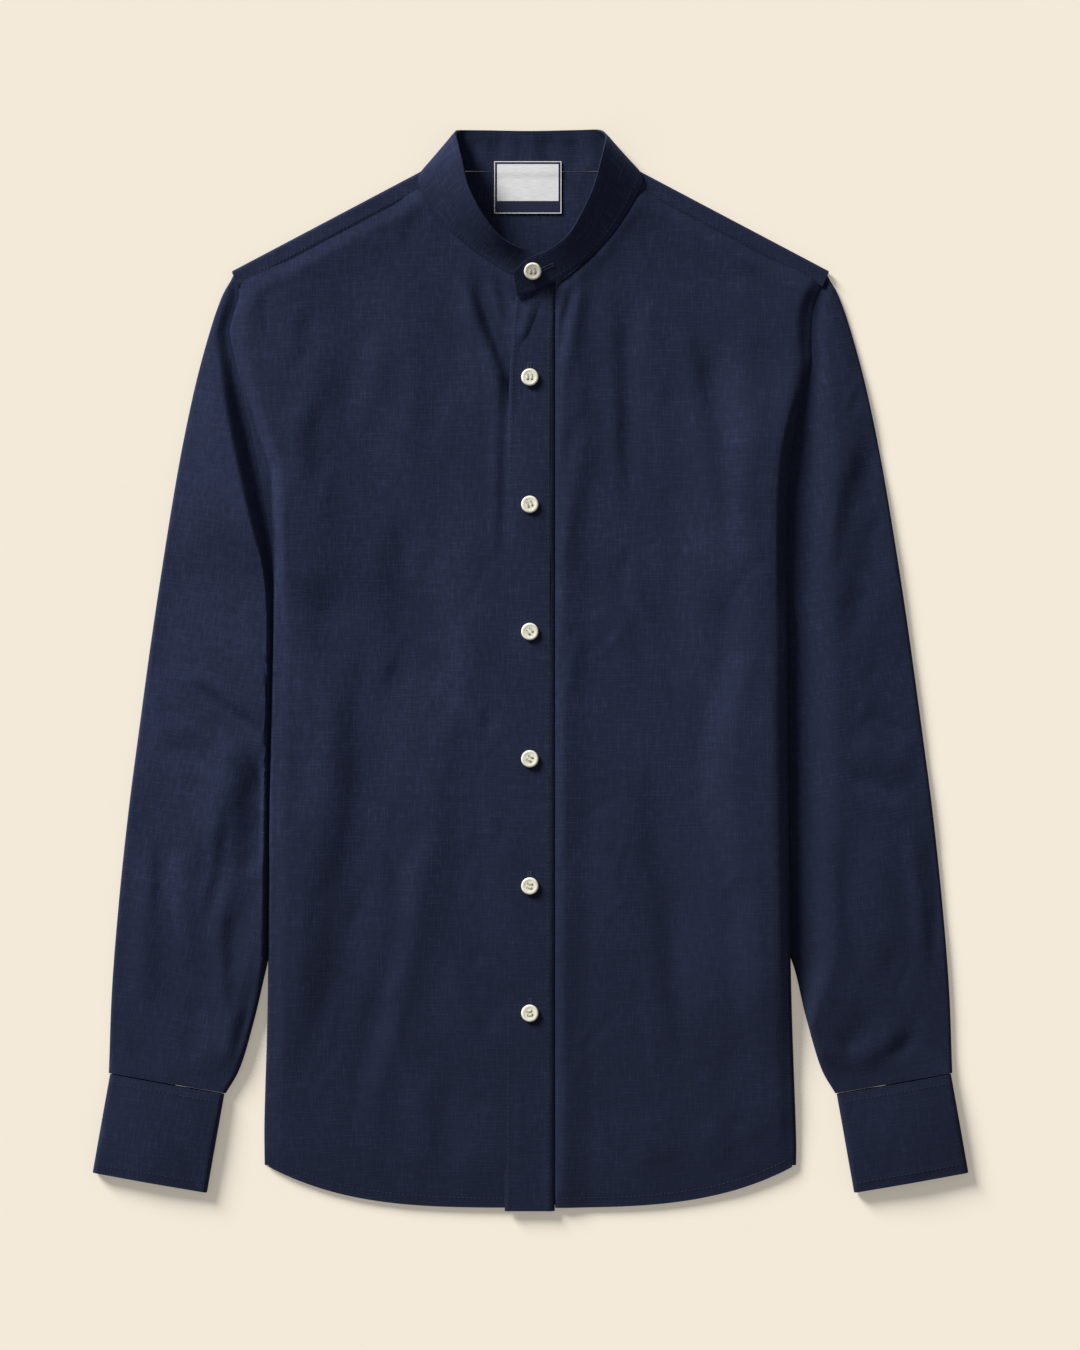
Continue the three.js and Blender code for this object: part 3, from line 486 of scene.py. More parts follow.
def ease(start, end, value):
    """Smooth step from 0 at start to 1 at end."""
    t = np.clip((value - start) / (end - start), 0, 1)
    return t * t * (3 - 2 * t)


def read_table(table, key):
    """Smooth curve through a table whose first column falls."""
    keys, values = np.array(table, float)[::-1].T
    rows = np.arange(len(keys))
    before, after = np.maximum(rows - 1, 0), np.minimum(rows + 1, rows[-1])
    slope = (values[after] - values[before]) / (keys[after] - keys[before])
    key = np.clip(key, keys[0], keys[-1])
    row = np.clip(np.searchsorted(keys, key, side="right") - 1, 0, len(keys) - 2)
    step = keys[row + 1] - keys[row]
    t = (key - keys[row]) / step
    return (values[row] * (2 * t**3 - 3 * t**2 + 1) + slope[row] * step * (t**3 - 2 * t**2 + t)
            + values[row + 1] * (3 * t**2 - 2 * t**3) + slope[row + 1] * step * (t**3 - t**2))


def curve_at(points, t):
    """Points of a smooth curve through given points. t runs from 0 to 1 with equal spans."""
    points = np.array(points, float)
    padded = np.vstack([2 * points[0] - points[1], points, 2 * points[-1] - points[-2]])
    place = np.clip(np.asarray(t, float) * (len(points) - 1), 0, len(points) - 1 - 1e-9)
    k = place.astype(int)
    w = (place - k)[:, None]
    p0, p1, p2, p3 = (padded[k + n] for n in range(4))
    a, b, c = (np.maximum(np.sqrt(np.linalg.norm(q - p, axis=1)), 1e-4)[:, None]
               for p, q in ((p0, p1), (p1, p2), (p2, p3)))
    m1 = ((p1 - p0) / a - (p2 - p0) / (a + b) + (p2 - p1) / b) * b
    m2 = ((p2 - p1) / b - (p3 - p1) / (b + c) + (p3 - p2) / c) * b
    return (p1 * (2 * w**3 - 3 * w**2 + 1) + m1 * (w**3 - 2 * w**2 + w)
            + p2 * (3 * w**2 - 2 * w**3) + m2 * (w**3 - w**2))


def along_line(line, lengths):
    """Points at the given lengths along a line of points."""
    line = np.asarray(line, float)
    reached = np.concatenate([[0], np.cumsum(np.linalg.norm(np.diff(line, axis=0), axis=1))])
    return np.stack([np.interp(lengths, reached, axis) for axis in line.T], axis=1)


def curve_by_length(points, shares):
    """Points of a smooth curve at shares of its length."""
    fine = curve_at(points, np.linspace(0, 1, 900))
    length = np.linalg.norm(np.diff(fine, axis=0), axis=1).sum()
    return along_line(fine, np.asarray(shares) * length)


def fold_height(folds, x, y, one_way=False):
    """Height of soft ridges and troughs, or of slopes that fall one way. Each fades at its ends."""
    total = np.zeros(np.broadcast(x, y).shape)
    for line, half_width, height in folds:
        points = np.array(line, float).reshape(-1, 2)
        spans = np.diff(points, axis=0)
        lengths = np.hypot(*spans.T)
        starts = np.concatenate([[0], np.cumsum(lengths)])
        nearest = np.full(total.shape, np.inf)
        reached = np.zeros(total.shape)
        side = np.ones(total.shape)
        for (px, py), (dx, dy), length, start in zip(points, spans, lengths, starts):
            t = np.clip(((x - px) * dx + (y - py) * dy) / length**2, 0, 1)
            away = (x - px - t * dx) ** 2 + (y - py - t * dy) ** 2
            reached = np.where(away < nearest, start + t * length, reached)
            turned = ((x - px) * dy - (y - py) * dx) * np.sign(dy)
            side = np.where(away < nearest, np.sign(turned), side)
            nearest = np.minimum(away, nearest)
        share = reached / starts[-1]
        across = np.sqrt(nearest) / half_width
        shape = -side * across * np.exp(0.5 - across**2 / 2) if one_way else np.exp(-across**2)
        total += height * ease(0, 0.3, share) * ease(1, 0.65, share) * shape
    return total


def crumple(seed, x, y, box, count, lean=90):
    """Many small creases, mostly near one direction, for a height of about 1."""
    rng = np.random.default_rng(seed)
    x0, x1, y0, y1 = box
    folds = []
    for _ in range(count):
        cx, cy = rng.uniform(x0, x1), rng.uniform(y0, y1)
        angle = math.radians(rng.normal(lean, 26))
        reach = rng.uniform(8, 34)
        dx, dy = reach * math.cos(angle), reach * math.sin(angle)
        bend = rng.uniform(-0.18, 0.18)
        line = (cx - dx, cy - dy, cx - bend * dy, cy + bend * dx, cx + dx, cy + dy)
        folds.append((line, rng.uniform(2.6, 7.5), rng.uniform(0.3, 1) * rng.choice((-1, 1))))
    return fold_height(folds, x, y)


def swell(seed, x, y):
    """Low, wide waves between -1 and 1, as cloth has that isn't quite pressed."""
    rng = np.random.default_rng(seed)
    total = np.zeros(np.broadcast(x, y).shape)
    for length in (230, 150, 104, 71, 48, 33):
        turn = rng.normal(0, 0.55)
        phase = rng.uniform(0, 2 * math.pi)
        wave = (x * math.cos(turn) + y * math.sin(turn) * 0.45) * 2 * math.pi / length
        total += np.sin(wave + phase + 1.3 * np.sin(y / (length * 0.9) + phase)) * length
    return total / 636


def body_edge(side, y):
    return read_table(RIGHT_EDGE if side < 0 else LEFT_EDGE, y)


def hem_y(x):
    return HEM_LOW_Y + HEM_RISE * (np.abs(x) / HEM_HALF_WIDTH) ** HEM_POWER


def shoulder_y(x):
    return SHOULDER_Y - SHOULDER_SLOPE * (np.abs(x) - SHOULDER_X)


def front_top_y(side, x):
    """Top edge of a front: the yoke's seam towards the shoulder, then the neck edge."""
    seam = shoulder_y(x) - YOKE_FRONT_DEPTH - YOKE_SEAM
    outward = side * np.asarray(x, float)
    neck = read_table(RIGHT_NECK if side < 0 else LEFT_NECK, outward)
    return np.where(outward > NECK_POINT_X + 3, seam, np.minimum(neck, seam))


def tuck_lift(side, x, y):
    """Height that the body's side is raised where a tucked sleeve lies under it."""
    tuck = np.maximum(read_table(SLEEVE_TUCK, y), TUCK_LEAST)
    inner = body_edge(side, y) - tuck - TUCK_MARGIN
    across = ease(0, TUCK_RAMP, np.abs(x) - inner + TUCK_RAMP)
    return TUCK_LIFT[side] * across * ease(1, TUCK_START, UNDERARM_Y - y) * ease(-305, -216, y)


def back_z(side, x, y):
    return CAD_CLOTH / 2 + tuck_lift(side, x, y)


def front_space(side, x, y, cloth):
    """Height from the middle of the back's cloth to the middle of the front's."""
    inside = body_edge(side, y) - np.abs(x)
    hem = ease(0, 60, y - hem_y(x))
    sides = (SIDE_SPACE - PANEL_SPACE) * ease(SIDE_SPACE_REACH, 4, inside) * (0.35 + 0.65 * hem)
    sides = sides * (1 - SIDE_FLATTER[side] * ease(1, TUCK_START, UNDERARM_Y - y))
    seam_y = shoulder_y(x) - YOKE_FRONT_DEPTH
    top = (SHOULDER_SPACE - PANEL_SPACE) * ease(seam_y - YOKE_RISE_REACH, seam_y, y)
    join = (PLACKET_Z - CAD_CLOTH / 2 - PANEL_SPACE) * ease(46, 19, x) * (side > 0)
    base = PANEL_SPACE + np.maximum.reduce([sides, top, join])
    from_top = front_top_y(side, x) - y
    if side < 0:
        placket_side = ease(1, 7, read_table(PLACKET_EDGE[::-1], y) - x)
    else:
        placket_side = ease(1, 8, x - PLACKET_RIGHT_X)
    free = (ease(1, 14, inside) * placket_side * ease(2, 14, from_top)
            * (0.25 + 0.75 * ease(2, 40, y - hem_y(x))))
    box = (*sorted((side * 20, side * 195)), -370, 330)
    folds = fold_height(FRONT_FOLDS, x, y) + fold_height(FRONT_FALLS, x, y, one_way=True)
    detail = FRONT_LOFT + folds * cloth.fold_height
    detail = detail + swell(11 + side, x, y) * 0.9
    detail = detail + crumple(31 + side, x, y, box, 90) * cloth.crumple / MM
    flank = read_table(RIGHT_FLANK if side < 0 else LEFT_FLANK, y)
    puff = ease(-2, 8, inside - flank) * ease(88, 26, inside) * ease(*PUFF_TOP[side], y)
    puff = puff * (1 - (1 - PUFF_BELOW[side]) * ease(1, TUCK_START, UNDERARM_Y - y))
    puff = puff * ease(-300, -180, y)
    neck = NECK_LIFT[side] * ease(26, 4, from_top) * ease(100, 76, np.abs(x))
    if side > 0:
        neck = neck * ease(22, 44, x)
    full = np.maximum(base + detail * free + SIDE_PUFF[side] * puff + neck, PANEL_SPACE)
    fall_reach = FLANK_FALL + FLANK_SOFTER * ease(185, 240, y)
    fallen = ease(fall_reach, -fall_reach, inside - flank) * ease(64, 84, y)
    under_yoke = YOKE_STEP * ease(3.6, 0.6, from_top) * (np.abs(x) > NECK_POINT_X - 8)
    thinner = HEM_THINNER * ease(12, 0, y - hem_y(x))
    return full + (PANEL_SPACE - full) * fallen - under_yoke - thinner


def front_z(side, x, y, cloth):
    return back_z(side, x, y) + front_space(side, x, y, cloth)


def grid_normals(points):
    """Unit normals of a grid of points."""
    normals = np.cross(np.gradient(points, axis=0), np.gradient(points, axis=1))
    return normals / np.maximum(np.linalg.norm(normals, axis=2, keepdims=True), 1e-9)


def new_object(name, mesh):
    obj = bpy.data.objects.new(name, mesh)
    bpy.context.scene.collection.objects.link(obj)
    return obj


def wall(name, grids, thickness, material):
    """A closed wall of even thickness about one or more grids of middle points.

    Each grid is a pair: points in millimetres, and places on the flat cloth in metres. Points
    that coincide are joined, so a grid whose last column repeats its first becomes a tube.
    """
    corners, places, faces, count = [], [], [], 0
    for points, uv in grids:
        ids = count + np.arange(points.shape[0] * points.shape[1]).reshape(points.shape[:2])
        cells = (ids[:-1, :-1], ids[1:, :-1], ids[1:, 1:], ids[:-1, 1:])
        faces.append(np.stack(cells, -1).reshape(-1, 4))
        corners.append(points.reshape(-1, 3))
        places.append(uv.reshape(-1, 2))
        count += ids.size
    corners, places, faces = np.vstack(corners), np.vstack(places), np.vstack(faces)
    keys = np.round(corners * 1000).astype(np.int64)
    _, first, shared = np.unique(keys, axis=0, return_index=True, return_inverse=True)
    middle, joined = corners[first], shared.ravel()[faces]
    a, b, c, d = (middle[joined[:, k]] for k in range(4))
    face_normals = np.cross(c - a, d - b)
    normals = np.zeros_like(middle)
    for k in range(4):
        np.add.at(normals, joined[:, k], face_normals)
    normals /= np.maximum(np.linalg.norm(normals, axis=1, keepdims=True), 1e-9)
    vertices = np.vstack([middle + normals * thickness / 2, middle - normals * thickness / 2])
    vertices[:, 2] = np.maximum(vertices[:, 2], 0)
    total = len(middle)
    start, end = joined.ravel(), np.roll(joined, -1, axis=1).ravel()
    border = ~np.isin(start * total + end, end * total + start)
    rim = np.stack([end, start, start + total, end + total], -1)[border]
    start, end = faces.ravel(), np.roll(faces, -1, axis=1).ravel()
    rim_places = np.stack([end, start, start, end], -1)[border]
    all_faces = np.vstack([joined, joined[:, ::-1] + total, rim])
    uv = places[np.vstack([faces, faces[:, ::-1], rim_places])]
    mesh = bpy.data.meshes.new(name)
    mesh.from_pydata((vertices * MM).tolist(), [], all_faces.tolist())
    layer = mesh.uv_layers.new(name="cloth")
    layer.data.foreach_set("uv", np.ascontiguousarray(uv, np.float32).ravel())
    mesh.materials.append(material)
    mesh.shade_smooth()
    mesh.set_sharp_from_angle(angle=math.radians(CLOTH_SHARP_ANGLE))
    return new_object(name, mesh)


def flat_uv(points, turn=0, shift=0):
    """Places on the flat cloth for points seen from above, turned by an angle in degrees."""
    c, s = math.cos(math.radians(turn)), math.sin(math.radians(turn))
    x, y = points[..., 0], points[..., 1]
    return np.stack([c * x + s * y + shift, c * y - s * x + shift], -1) * MM


def capsules(centres, tangents, normals, length, width):
    """Vertices and faces of many short threads, each lying on a surface."""
    sides = 6
    stations = ((-0.5, 0), (-0.36, 0.8), (0, 1), (0.36, 0.8), (0.5, 0))
    template = []
    for share, radius in stations:
        ring = [0] if radius == 0 else range(sides)
        for k in ring:
            angle = 2 * math.pi * k / sides
            template.append((share * length, radius * width / 2 * math.cos(angle),
                             radius * width / 2 * math.sin(angle)))
    template = np.array(template)
    faces = []
    for k in range(sides):
        n = (k + 1) % sides
        faces.append((0, 1 + k, 1 + n))
        faces.append((1 + k, 1 + sides + k, 1 + sides + n, 1 + n))
        faces.append((1 + sides + k, 1 + 2 * sides + k, 1 + 2 * sides + n, 1 + sides + n))
        faces.append((1 + 2 * sides + k, 1 + 3 * sides, 1 + 2 * sides + n))
    across = np.cross(normals, tangents)
    vertices = (centres[:, None] + tangents[:, None] * template[None, :, :1]
                + across[:, None] * template[None, :, 1:2]
                + normals[:, None] * template[None, :, 2:])
    size = len(template)
    all_faces = [tuple(i + k * size for i in face) for k in range(len(centres))
                 for face in faces]
    return vertices.reshape(-1, 3), all_faces


def threads(name, runs, material):
    """One mesh of threads. Each run holds centres, tangents, normals, length and width."""
    vertices, faces, count = [], [], 0
    for run in runs:
        points, cells = capsules(*run)
        vertices.append(points)
        faces += [tuple(i + count for i in cell) for cell in cells]
        count += len(points)
    mesh = bpy.data.meshes.new(name)
    mesh.from_pydata((np.vstack(vertices) * MM).tolist(), [], faces)
    mesh.materials.append(material)
    mesh.shade_smooth()
    return new_object(name, mesh)


def stitch_run(line, normals, cloth, sink=0.45):
    """Stitches along a line of surface points, as centres, tangents, normals and sizes."""
    line, normals = np.asarray(line, float), np.asarray(normals, float)
    length = np.linalg.norm(np.diff(line, axis=0), axis=1).sum()
    pitch, size = cloth.stitch_pitch / MM, cloth.stitch_length / MM
    places = np.arange(pitch / 2, length - pitch / 2, pitch)
    reached = np.concatenate([[0], np.cumsum(np.linalg.norm(np.diff(line, axis=0), axis=1))])
    ahead, behind = along_line(line, places + size / 2), along_line(line, places - size / 2)
    tangents = ahead - behind
    tangents /= np.linalg.norm(tangents, axis=1, keepdims=True)
    up = np.stack([np.interp(places, reached, axis) for axis in normals.T], axis=1)
    up -= tangents * (up * tangents).sum(1, keepdims=True)
    up /= np.linalg.norm(up, axis=1, keepdims=True)
    width = cloth.stitch_width / MM
    centres = (ahead + behind) / 2 + up * width * (0.5 - sink)
    centres[:, 2] = np.maximum(centres[:, 2], width / 2)
    return centres, tangents, up, size, width


def declare(obj, body_nodes):
    """Lets a piece ride on the shirt's body and stand for CAD nodes, whose solids it hides."""
    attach(obj, "root")
    if body_nodes:
        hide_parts(*body_nodes)


def add_node(tree, kind, inputs=None, stops=(), **settings):
    """Adds a node with its settings, and sets or links its inputs.

    Inputs go by name, or by number where several have one name. Stops are a colour ramp's
    places from 0 to 1 with their colours.
    """
    node = tree.nodes.new(kind)
    for name, value in settings.items():
        setattr(node, name, value)
    for name, value in (inputs or {}).items():
        if isinstance(value, bpy.types.NodeSocket):
            tree.links.new(value, node.inputs[name])
        else:
            node.inputs[name].default_value = value
    if stops:
        elements = node.color_ramp.elements
        for element, (place, colour) in zip(elements, (stops[0], stops[-1])):
            element.position, element.color = place, (*colour, 1)
        for place, colour in stops[1:-1]:
            elements.new(place).color = (*colour, 1)
    return node


def new_material(name):
    """A node material and its empty tree, or an earlier material of that name and None."""
    material = bpy.data.materials.get(name)
    if material:
        return material, None
    material = bpy.data.materials.new(name)
    material.use_nodes = True
    material.node_tree.nodes.clear()
    return material, material.node_tree


# Noise in the linen. Columns: what it makes, size across and along in millimetres, whether it
# runs along the weft, fineness.
LINEN_NOISE = (
    ("weft", 0.7, 5, True, 1.0), ("warp", 0.7, 6, False, 1.0),
    ("weft slub", 1.3, 20, True, 0.0), ("warp slub", 1.3, 16, False, 0.0),
    ("cloud", 38, 60, False, 3.0), ("mottle", 3.5, 6, False, 2.0),
)
# Sums that make the tone and the relief. Columns: result, operation, terms.
LINEN_SUMS = (
    ("weave", "ADD", "weft", "warp"),
    ("slub", "ADD", "weft slub", "warp slub"),
    ("tone", "MULTIPLY_ADD", "weave", 0.22, 0.14),
    ("tone", "MULTIPLY_ADD", "slub", 0.11, "tone"),
    ("tone", "MULTIPLY_ADD", "cloud", 0.34, "tone"),
    ("tone", "MULTIPLY_ADD", "mottle", 0.3, "tone"),
    # Painted shade: the next two rows darken the tone towards the wearer's left and towards the hem,
    # as if the light from the upper left fell off.
    ("tone", "MULTIPLY_ADD", "across", -0.35, "tone"),
    ("tone", "SUBTRACT", "tone", "lower"),
    ("relief", "MULTIPLY_ADD", "slub", 0.6, "weave"),
)


def linen_plain_woven(name, colour, light_thread):
    """Linen, plain woven from uneven flax yarn and piece dyed.

    The eye sees a matt cloth with short paler threads both ways, a few thick slubs, cloudy dye
    and a faint bloom at grazing angles. The tone is also made darker towards the hem and the
    wearer's left: painted shade, standing in for light that is brighter at the upper left. Linen
    has about 20 threads a centimetre, 0.5 mm apart. They are drawn 0.7 mm apart, because finer
    ones would not show at this distance.
    """
    material, tree = new_material(name)
    if tree is None:
        return material
    uv = add_node(tree, "ShaderNodeTexCoord").outputs["UV"]
    values = {}
    for key, across, along, turned, detail in LINEN_NOISE:
        scale = (1000 / along, 1000 / across, 1) if turned else (1000 / across, 1000 / along, 1)
        place = add_node(tree, "ShaderNodeMapping", {"Vector": uv, "Scale": scale})
        noise = add_node(tree, "ShaderNodeTexNoise", {
            "Vector": place.outputs["Vector"], "Scale": 1.0, "Detail": detail,
            "Roughness": 0.5}, noise_dimensions="2D")
        values[key] = noise.outputs[0]
    for key in ("weft slub", "warp slub"):
        values[key] = add_node(tree, "ShaderNodeMapRange", {
            "Value": values[key], "From Min": 0.56, "From Max": 0.76, "To Min": 0.0,
            "To Max": 1.0}).outputs[0]
    # Painted shade: the object's X and Y make the tone darker towards the wearer's left and the hem.
    place = add_node(tree, "ShaderNodeTexCoord").outputs["Object"]
    axes = add_node(tree, "ShaderNodeSeparateXYZ", {"Vector": place}).outputs
    values["across"] = axes["X"]
    values["lower"] = add_node(tree, "ShaderNodeMapRange", {
        "Value": axes["Y"], "From Min": -0.03, "From Max": -0.30, "To Min": 0.0,
        "To Max": 0.2}, interpolation_type="SMOOTHSTEP").outputs[0]
    for key, operation, *terms in LINEN_SUMS:
        inputs = {k: values.get(term, term) for k, term in enumerate(terms)}
        values[key] = add_node(tree, "ShaderNodeMath", inputs, operation=operation).outputs[0]
    ramp = add_node(tree, "ShaderNodeValToRGB", {"Fac": values["tone"]}, stops=(
        (0.3, [c * 0.68 for c in colour]), (0.68, colour), (1.0, light_thread)))
    bump = add_node(tree, "ShaderNodeBump", {
        "Height": values["relief"], "Strength": 0.35, "Distance": 0.00018})
    shader = add_node(tree, "ShaderNodeBsdfPrincipled", {
        "Base Color": ramp.outputs["Color"], "Normal": bump.outputs["Normal"],
        "Roughness": 0.9, "IOR": 1.5, "Specular IOR Level": 0.1, "Sheen Weight": 0.06,
        "Sheen Roughness": 0.5, "Sheen Tint": (*to_linear("7f8cc0"), 1)})
    add_node(tree, "ShaderNodeOutputMaterial", {"Surface": shader.outputs["BSDF"]})
    return material


def mottled(name, colour, noise, shades, finish, stretch=None, relief=None):
    """A material whose colour varies with noise, and whose fine relief may follow it.

    Shades pair a place on the noise's scale with a share of the colour. Stretch turns the
    noise into threads on the cloth's flat places. Relief is a strength and, where the relief
    is finer than the colour's noise, settings for a noise of its own.
    """
    material, tree = new_material(name)
    if tree is None:
        return material
    place = add_node(tree, "ShaderNodeTexCoord").outputs["UV" if stretch else "Object"]
    if stretch:
        place = add_node(tree, "ShaderNodeMapping", {
            "Vector": place, "Scale": stretch}).outputs["Vector"]
    dimensions = "2D" if stretch else "3D"
    value = add_node(tree, "ShaderNodeTexNoise", {"Vector": place, **noise},
                     noise_dimensions=dimensions).outputs[0]
    ramp = add_node(tree, "ShaderNodeValToRGB", {"Fac": value}, stops=[
        (at, [min(c * share, 1) for c in colour]) for at, share in shades])
    inputs = {"Base Color": ramp.outputs["Color"], **finish}
    if relief:
        strength, own_noise = relief
        if own_noise:
            value = add_node(tree, "ShaderNodeTexNoise", {
                "Vector": place, **own_noise}).outputs[0]
        inputs["Normal"] = add_node(tree, "ShaderNodeBump", {
            "Height": value, "Strength": strength, "Distance": 0.0001}).outputs["Normal"]
    shader = add_node(tree, "ShaderNodeBsdfPrincipled", inputs)
    add_node(tree, "ShaderNodeOutputMaterial", {"Surface": shader.outputs["BSDF"]})
    return material


def thread_spun_polyester(name, colour):
    """Spun polyester sewing thread: a little smoother than the linen, with a soft twist."""
    finish = {"Roughness": 0.6, "IOR": 1.5, "Specular IOR Level": 0.35}
    return mottled(name, colour, {"Scale": 900.0, "Detail": 1.0}, ((0.3, 0.8), (0.75, 1.25)),
                   finish, relief=(0.3, None))


def button_corozo_turned(name, colour):
    """Corozo nut, turned and polished: cloudy ivory with a fine grain and a satin gloss."""
    finish = {"Roughness": 0.38, "IOR": 1.53, "Coat Weight": 0.15, "Coat Roughness": 0.25}
    return mottled(name, colour, {"Scale": 260.0, "Detail": 3.0, "Roughness": 0.6},
                   ((0.3, 0.82), (0.72, 1.08)), finish,
                   relief=(0.15, {"Scale": 1500.0, "Detail": 1.0}))


def label_damask_woven(name, colour):
    """Polyester label tape, woven as damask: fine threads across and a soft silky gloss."""
    finish = {"Roughness": 0.62, "IOR": 1.5, "Specular IOR Level": 0.3}
    return mottled(name, colour, {"Scale": 1.0, "Detail": 1.0}, ((0.25, 0.88), (0.7, 1.05)),
                   finish, stretch=(160, 2200, 1), relief=(0.25, None))


def surface_paper_painted_glow(name, colour, painted_glow):
    """Uncoated paper board that gives off a painted glow of its own colour, which keeps the shadows on
    it pale.
    """
    # Painted light: the surface emits its own colour, and the ramp dims its lit colour by the same
    # share.
    finish = {"Roughness": 0.85, "IOR": 1.5, "Specular IOR Level": 0.1,
              "Emission Color": (*colour, 1), "Emission Strength": painted_glow}
    return mottled(name, colour, {"Scale": 9.0, "Detail": 3.0, "Roughness": 0.55},
                   ((0.2, 0.985 * (1 - painted_glow)), (0.8, 1 - painted_glow)), finish)


def linen():
    cloth = bpy.context.scene.shirt_cloth
    return linen_plain_woven("linen plain woven", cloth.colour, cloth.light_thread)


def back_grid():
    """The back, which the shirt lies on, from the yoke's seam to the hem."""
    across = np.linspace(-1, 1, 91)
    top, tail_start, tail_rows = YOKE_BACK_Y - SEAM, -361, 12
    down = np.linspace(top, tail_start, 130)
    u, y = np.meshgrid(across, down)
    x = u * np.where(u < 0, body_edge(RIGHT, y), body_edge(LEFT, y))
    hem = np.minimum(hem_y(x[-1]) + BACK_SHORTER, tail_start)
    tail = np.linspace(0, 1, tail_rows + 1)[1:, None]
    y = np.vstack([y, tail_start + (hem - tail_start) * tail])
    x = np.vstack([x, np.repeat(x[-1:], tail_rows, axis=0)])
    z = np.where(x < 0, back_z(RIGHT, x, y), back_z(LEFT, x, y))
    return np.stack([x, y, z], -1)


def front_grid(side, cloth):
    """A front: its side edge rolls down to the back's edge, and its hem is curved."""
    inner = -STAND_REACH if side < 0 else PLACKET_RIGHT_X + PLACKET_GAP
    side_top = shoulder_y(body_edge(side, SHOULDER_TIP_Y)) - YOKE_FRONT_DEPTH
    side_low = hem_y(HEM_HALF_WIDTH)
    down = np.linspace(0, 1, 300)

    def edge_x(y):
        return body_edge(side, y) - CAD_CLOTH / 2

    def column(outward_at, low, angle=0.0):
        top = side_top
        for _ in range(12):
            top = float(front_top_y(side, side * outward_at(top)))
        y = top + (low - top) * down
        x = side * outward_at(y)
        room = front_space(side, x, y, cloth) - CAD_CLOTH / 2 - ROLL_GAP
        z = front_z(side, x, y, cloth) - room * (1 - math.cos(angle))
        return np.stack([x, y, z], -1)

    columns = []
    for degrees in (90, 76, 62, 48, 34, 20, 8):
        angle = math.radians(degrees)
        inset = ROLL_WIDTH * (1 - math.sin(angle))
        columns.append(column(lambda y, inset=inset: edge_x(y) - inset, side_low, angle))
    shares = (np.linspace(0, 0.14, 24), np.linspace(0.152, 0.96, 66), [0.972, 0.984, 0.992, 1])
    for share in np.concatenate(shares):
        def outward_at(y, share=share):
            return (edge_x(y) - ROLL_WIDTH) * (1 - share) + inner * share
        columns.append(column(outward_at, float(hem_y(outward_at(HEM_LOW_Y)))))
    grid = np.stack(columns, axis=1)
    if side > 0:
        edge = ease(1.8, 0, grid[..., 0] - inner)
        grid[..., 2] -= 1.1 * edge
        grid = grid[:, ::-1]
    return grid


def yoke_grids():
    """The yoke: flat across the back, then folded over each shoulder to the front."""
    neck_top = shoulder_y(NECK_POINT_X) + SEAM
    fold = SHOULDER_SPACE / 2
    shares = np.linspace(0, 1, 30)
    u, v = np.meshgrid(np.linspace(-NECK_POINT_X, NECK_POINT_X, 81), shares)
    y = YOKE_BACK_Y + (neck_top - YOKE_BACK_Y) * v
    seam_ridge = 0.35 * np.exp(-((u - 4) / 1.1) ** 2)
    grids = [np.stack([u, y, CAD_CLOTH / 2 + seam_ridge], -1)]
    for side in (RIGHT, LEFT):
        columns = []
        for share in np.concatenate([[0, 0.02], np.linspace(0.05, 1, 34)]):
            def settle(y_of, share=share):
                x = NECK_POINT_X + (SHOULDER_TIP_X - NECK_POINT_X) * share
                for _ in range(6):
                    x = NECK_POINT_X + (body_edge(side, y_of(x)) - NECK_POINT_X) * share
                return float(x)
            points = []
            for f in shares:
                def y_of(x, f=f, share=share):
                    top = neck_top if share == 0 else shoulder_y(x) - fold - SEAM
                    return YOKE_BACK_Y + (top - YOKE_BACK_Y) * f
                x = settle(y_of)
                points.append((side * x, y_of(x), CAD_CLOTH / 2))
            for degrees in (22, 44, 66, 90, 112, 136, 158, 180):
                angle = math.radians(degrees)
                x = settle(lambda x: shoulder_y(x) - fold)
                y = shoulder_y(x) - fold - CAD_CLOTH / 2 + fold * math.sin(angle)
                points.append((side * x, y, CAD_CLOTH / 2 + fold * (1 - math.cos(angle))))
            for depth in (4, 6, 8, 10, 12, 13.2, YOKE_FRONT_DEPTH):
                x = settle(lambda x, depth=depth: shoulder_y(x) - depth)
                rise = 0.12 * math.exp(-((depth - 11.5) / 2.0) ** 2)
                drop = 0.25 * float(ease(12, YOKE_FRONT_DEPTH, depth))
                z = CAD_CLOTH / 2 + SHOULDER_SPACE + rise - drop
                points.append((side * x, float(shoulder_y(x)) - depth, z))
            columns.append(points)
        grid = np.array(columns, float).transpose(1, 0, 2)
        grids.append(grid[:, ::-1] if side < 0 else grid)
    return grids


def placket_edge(y):
    return read_table(PLACKET_EDGE, y)


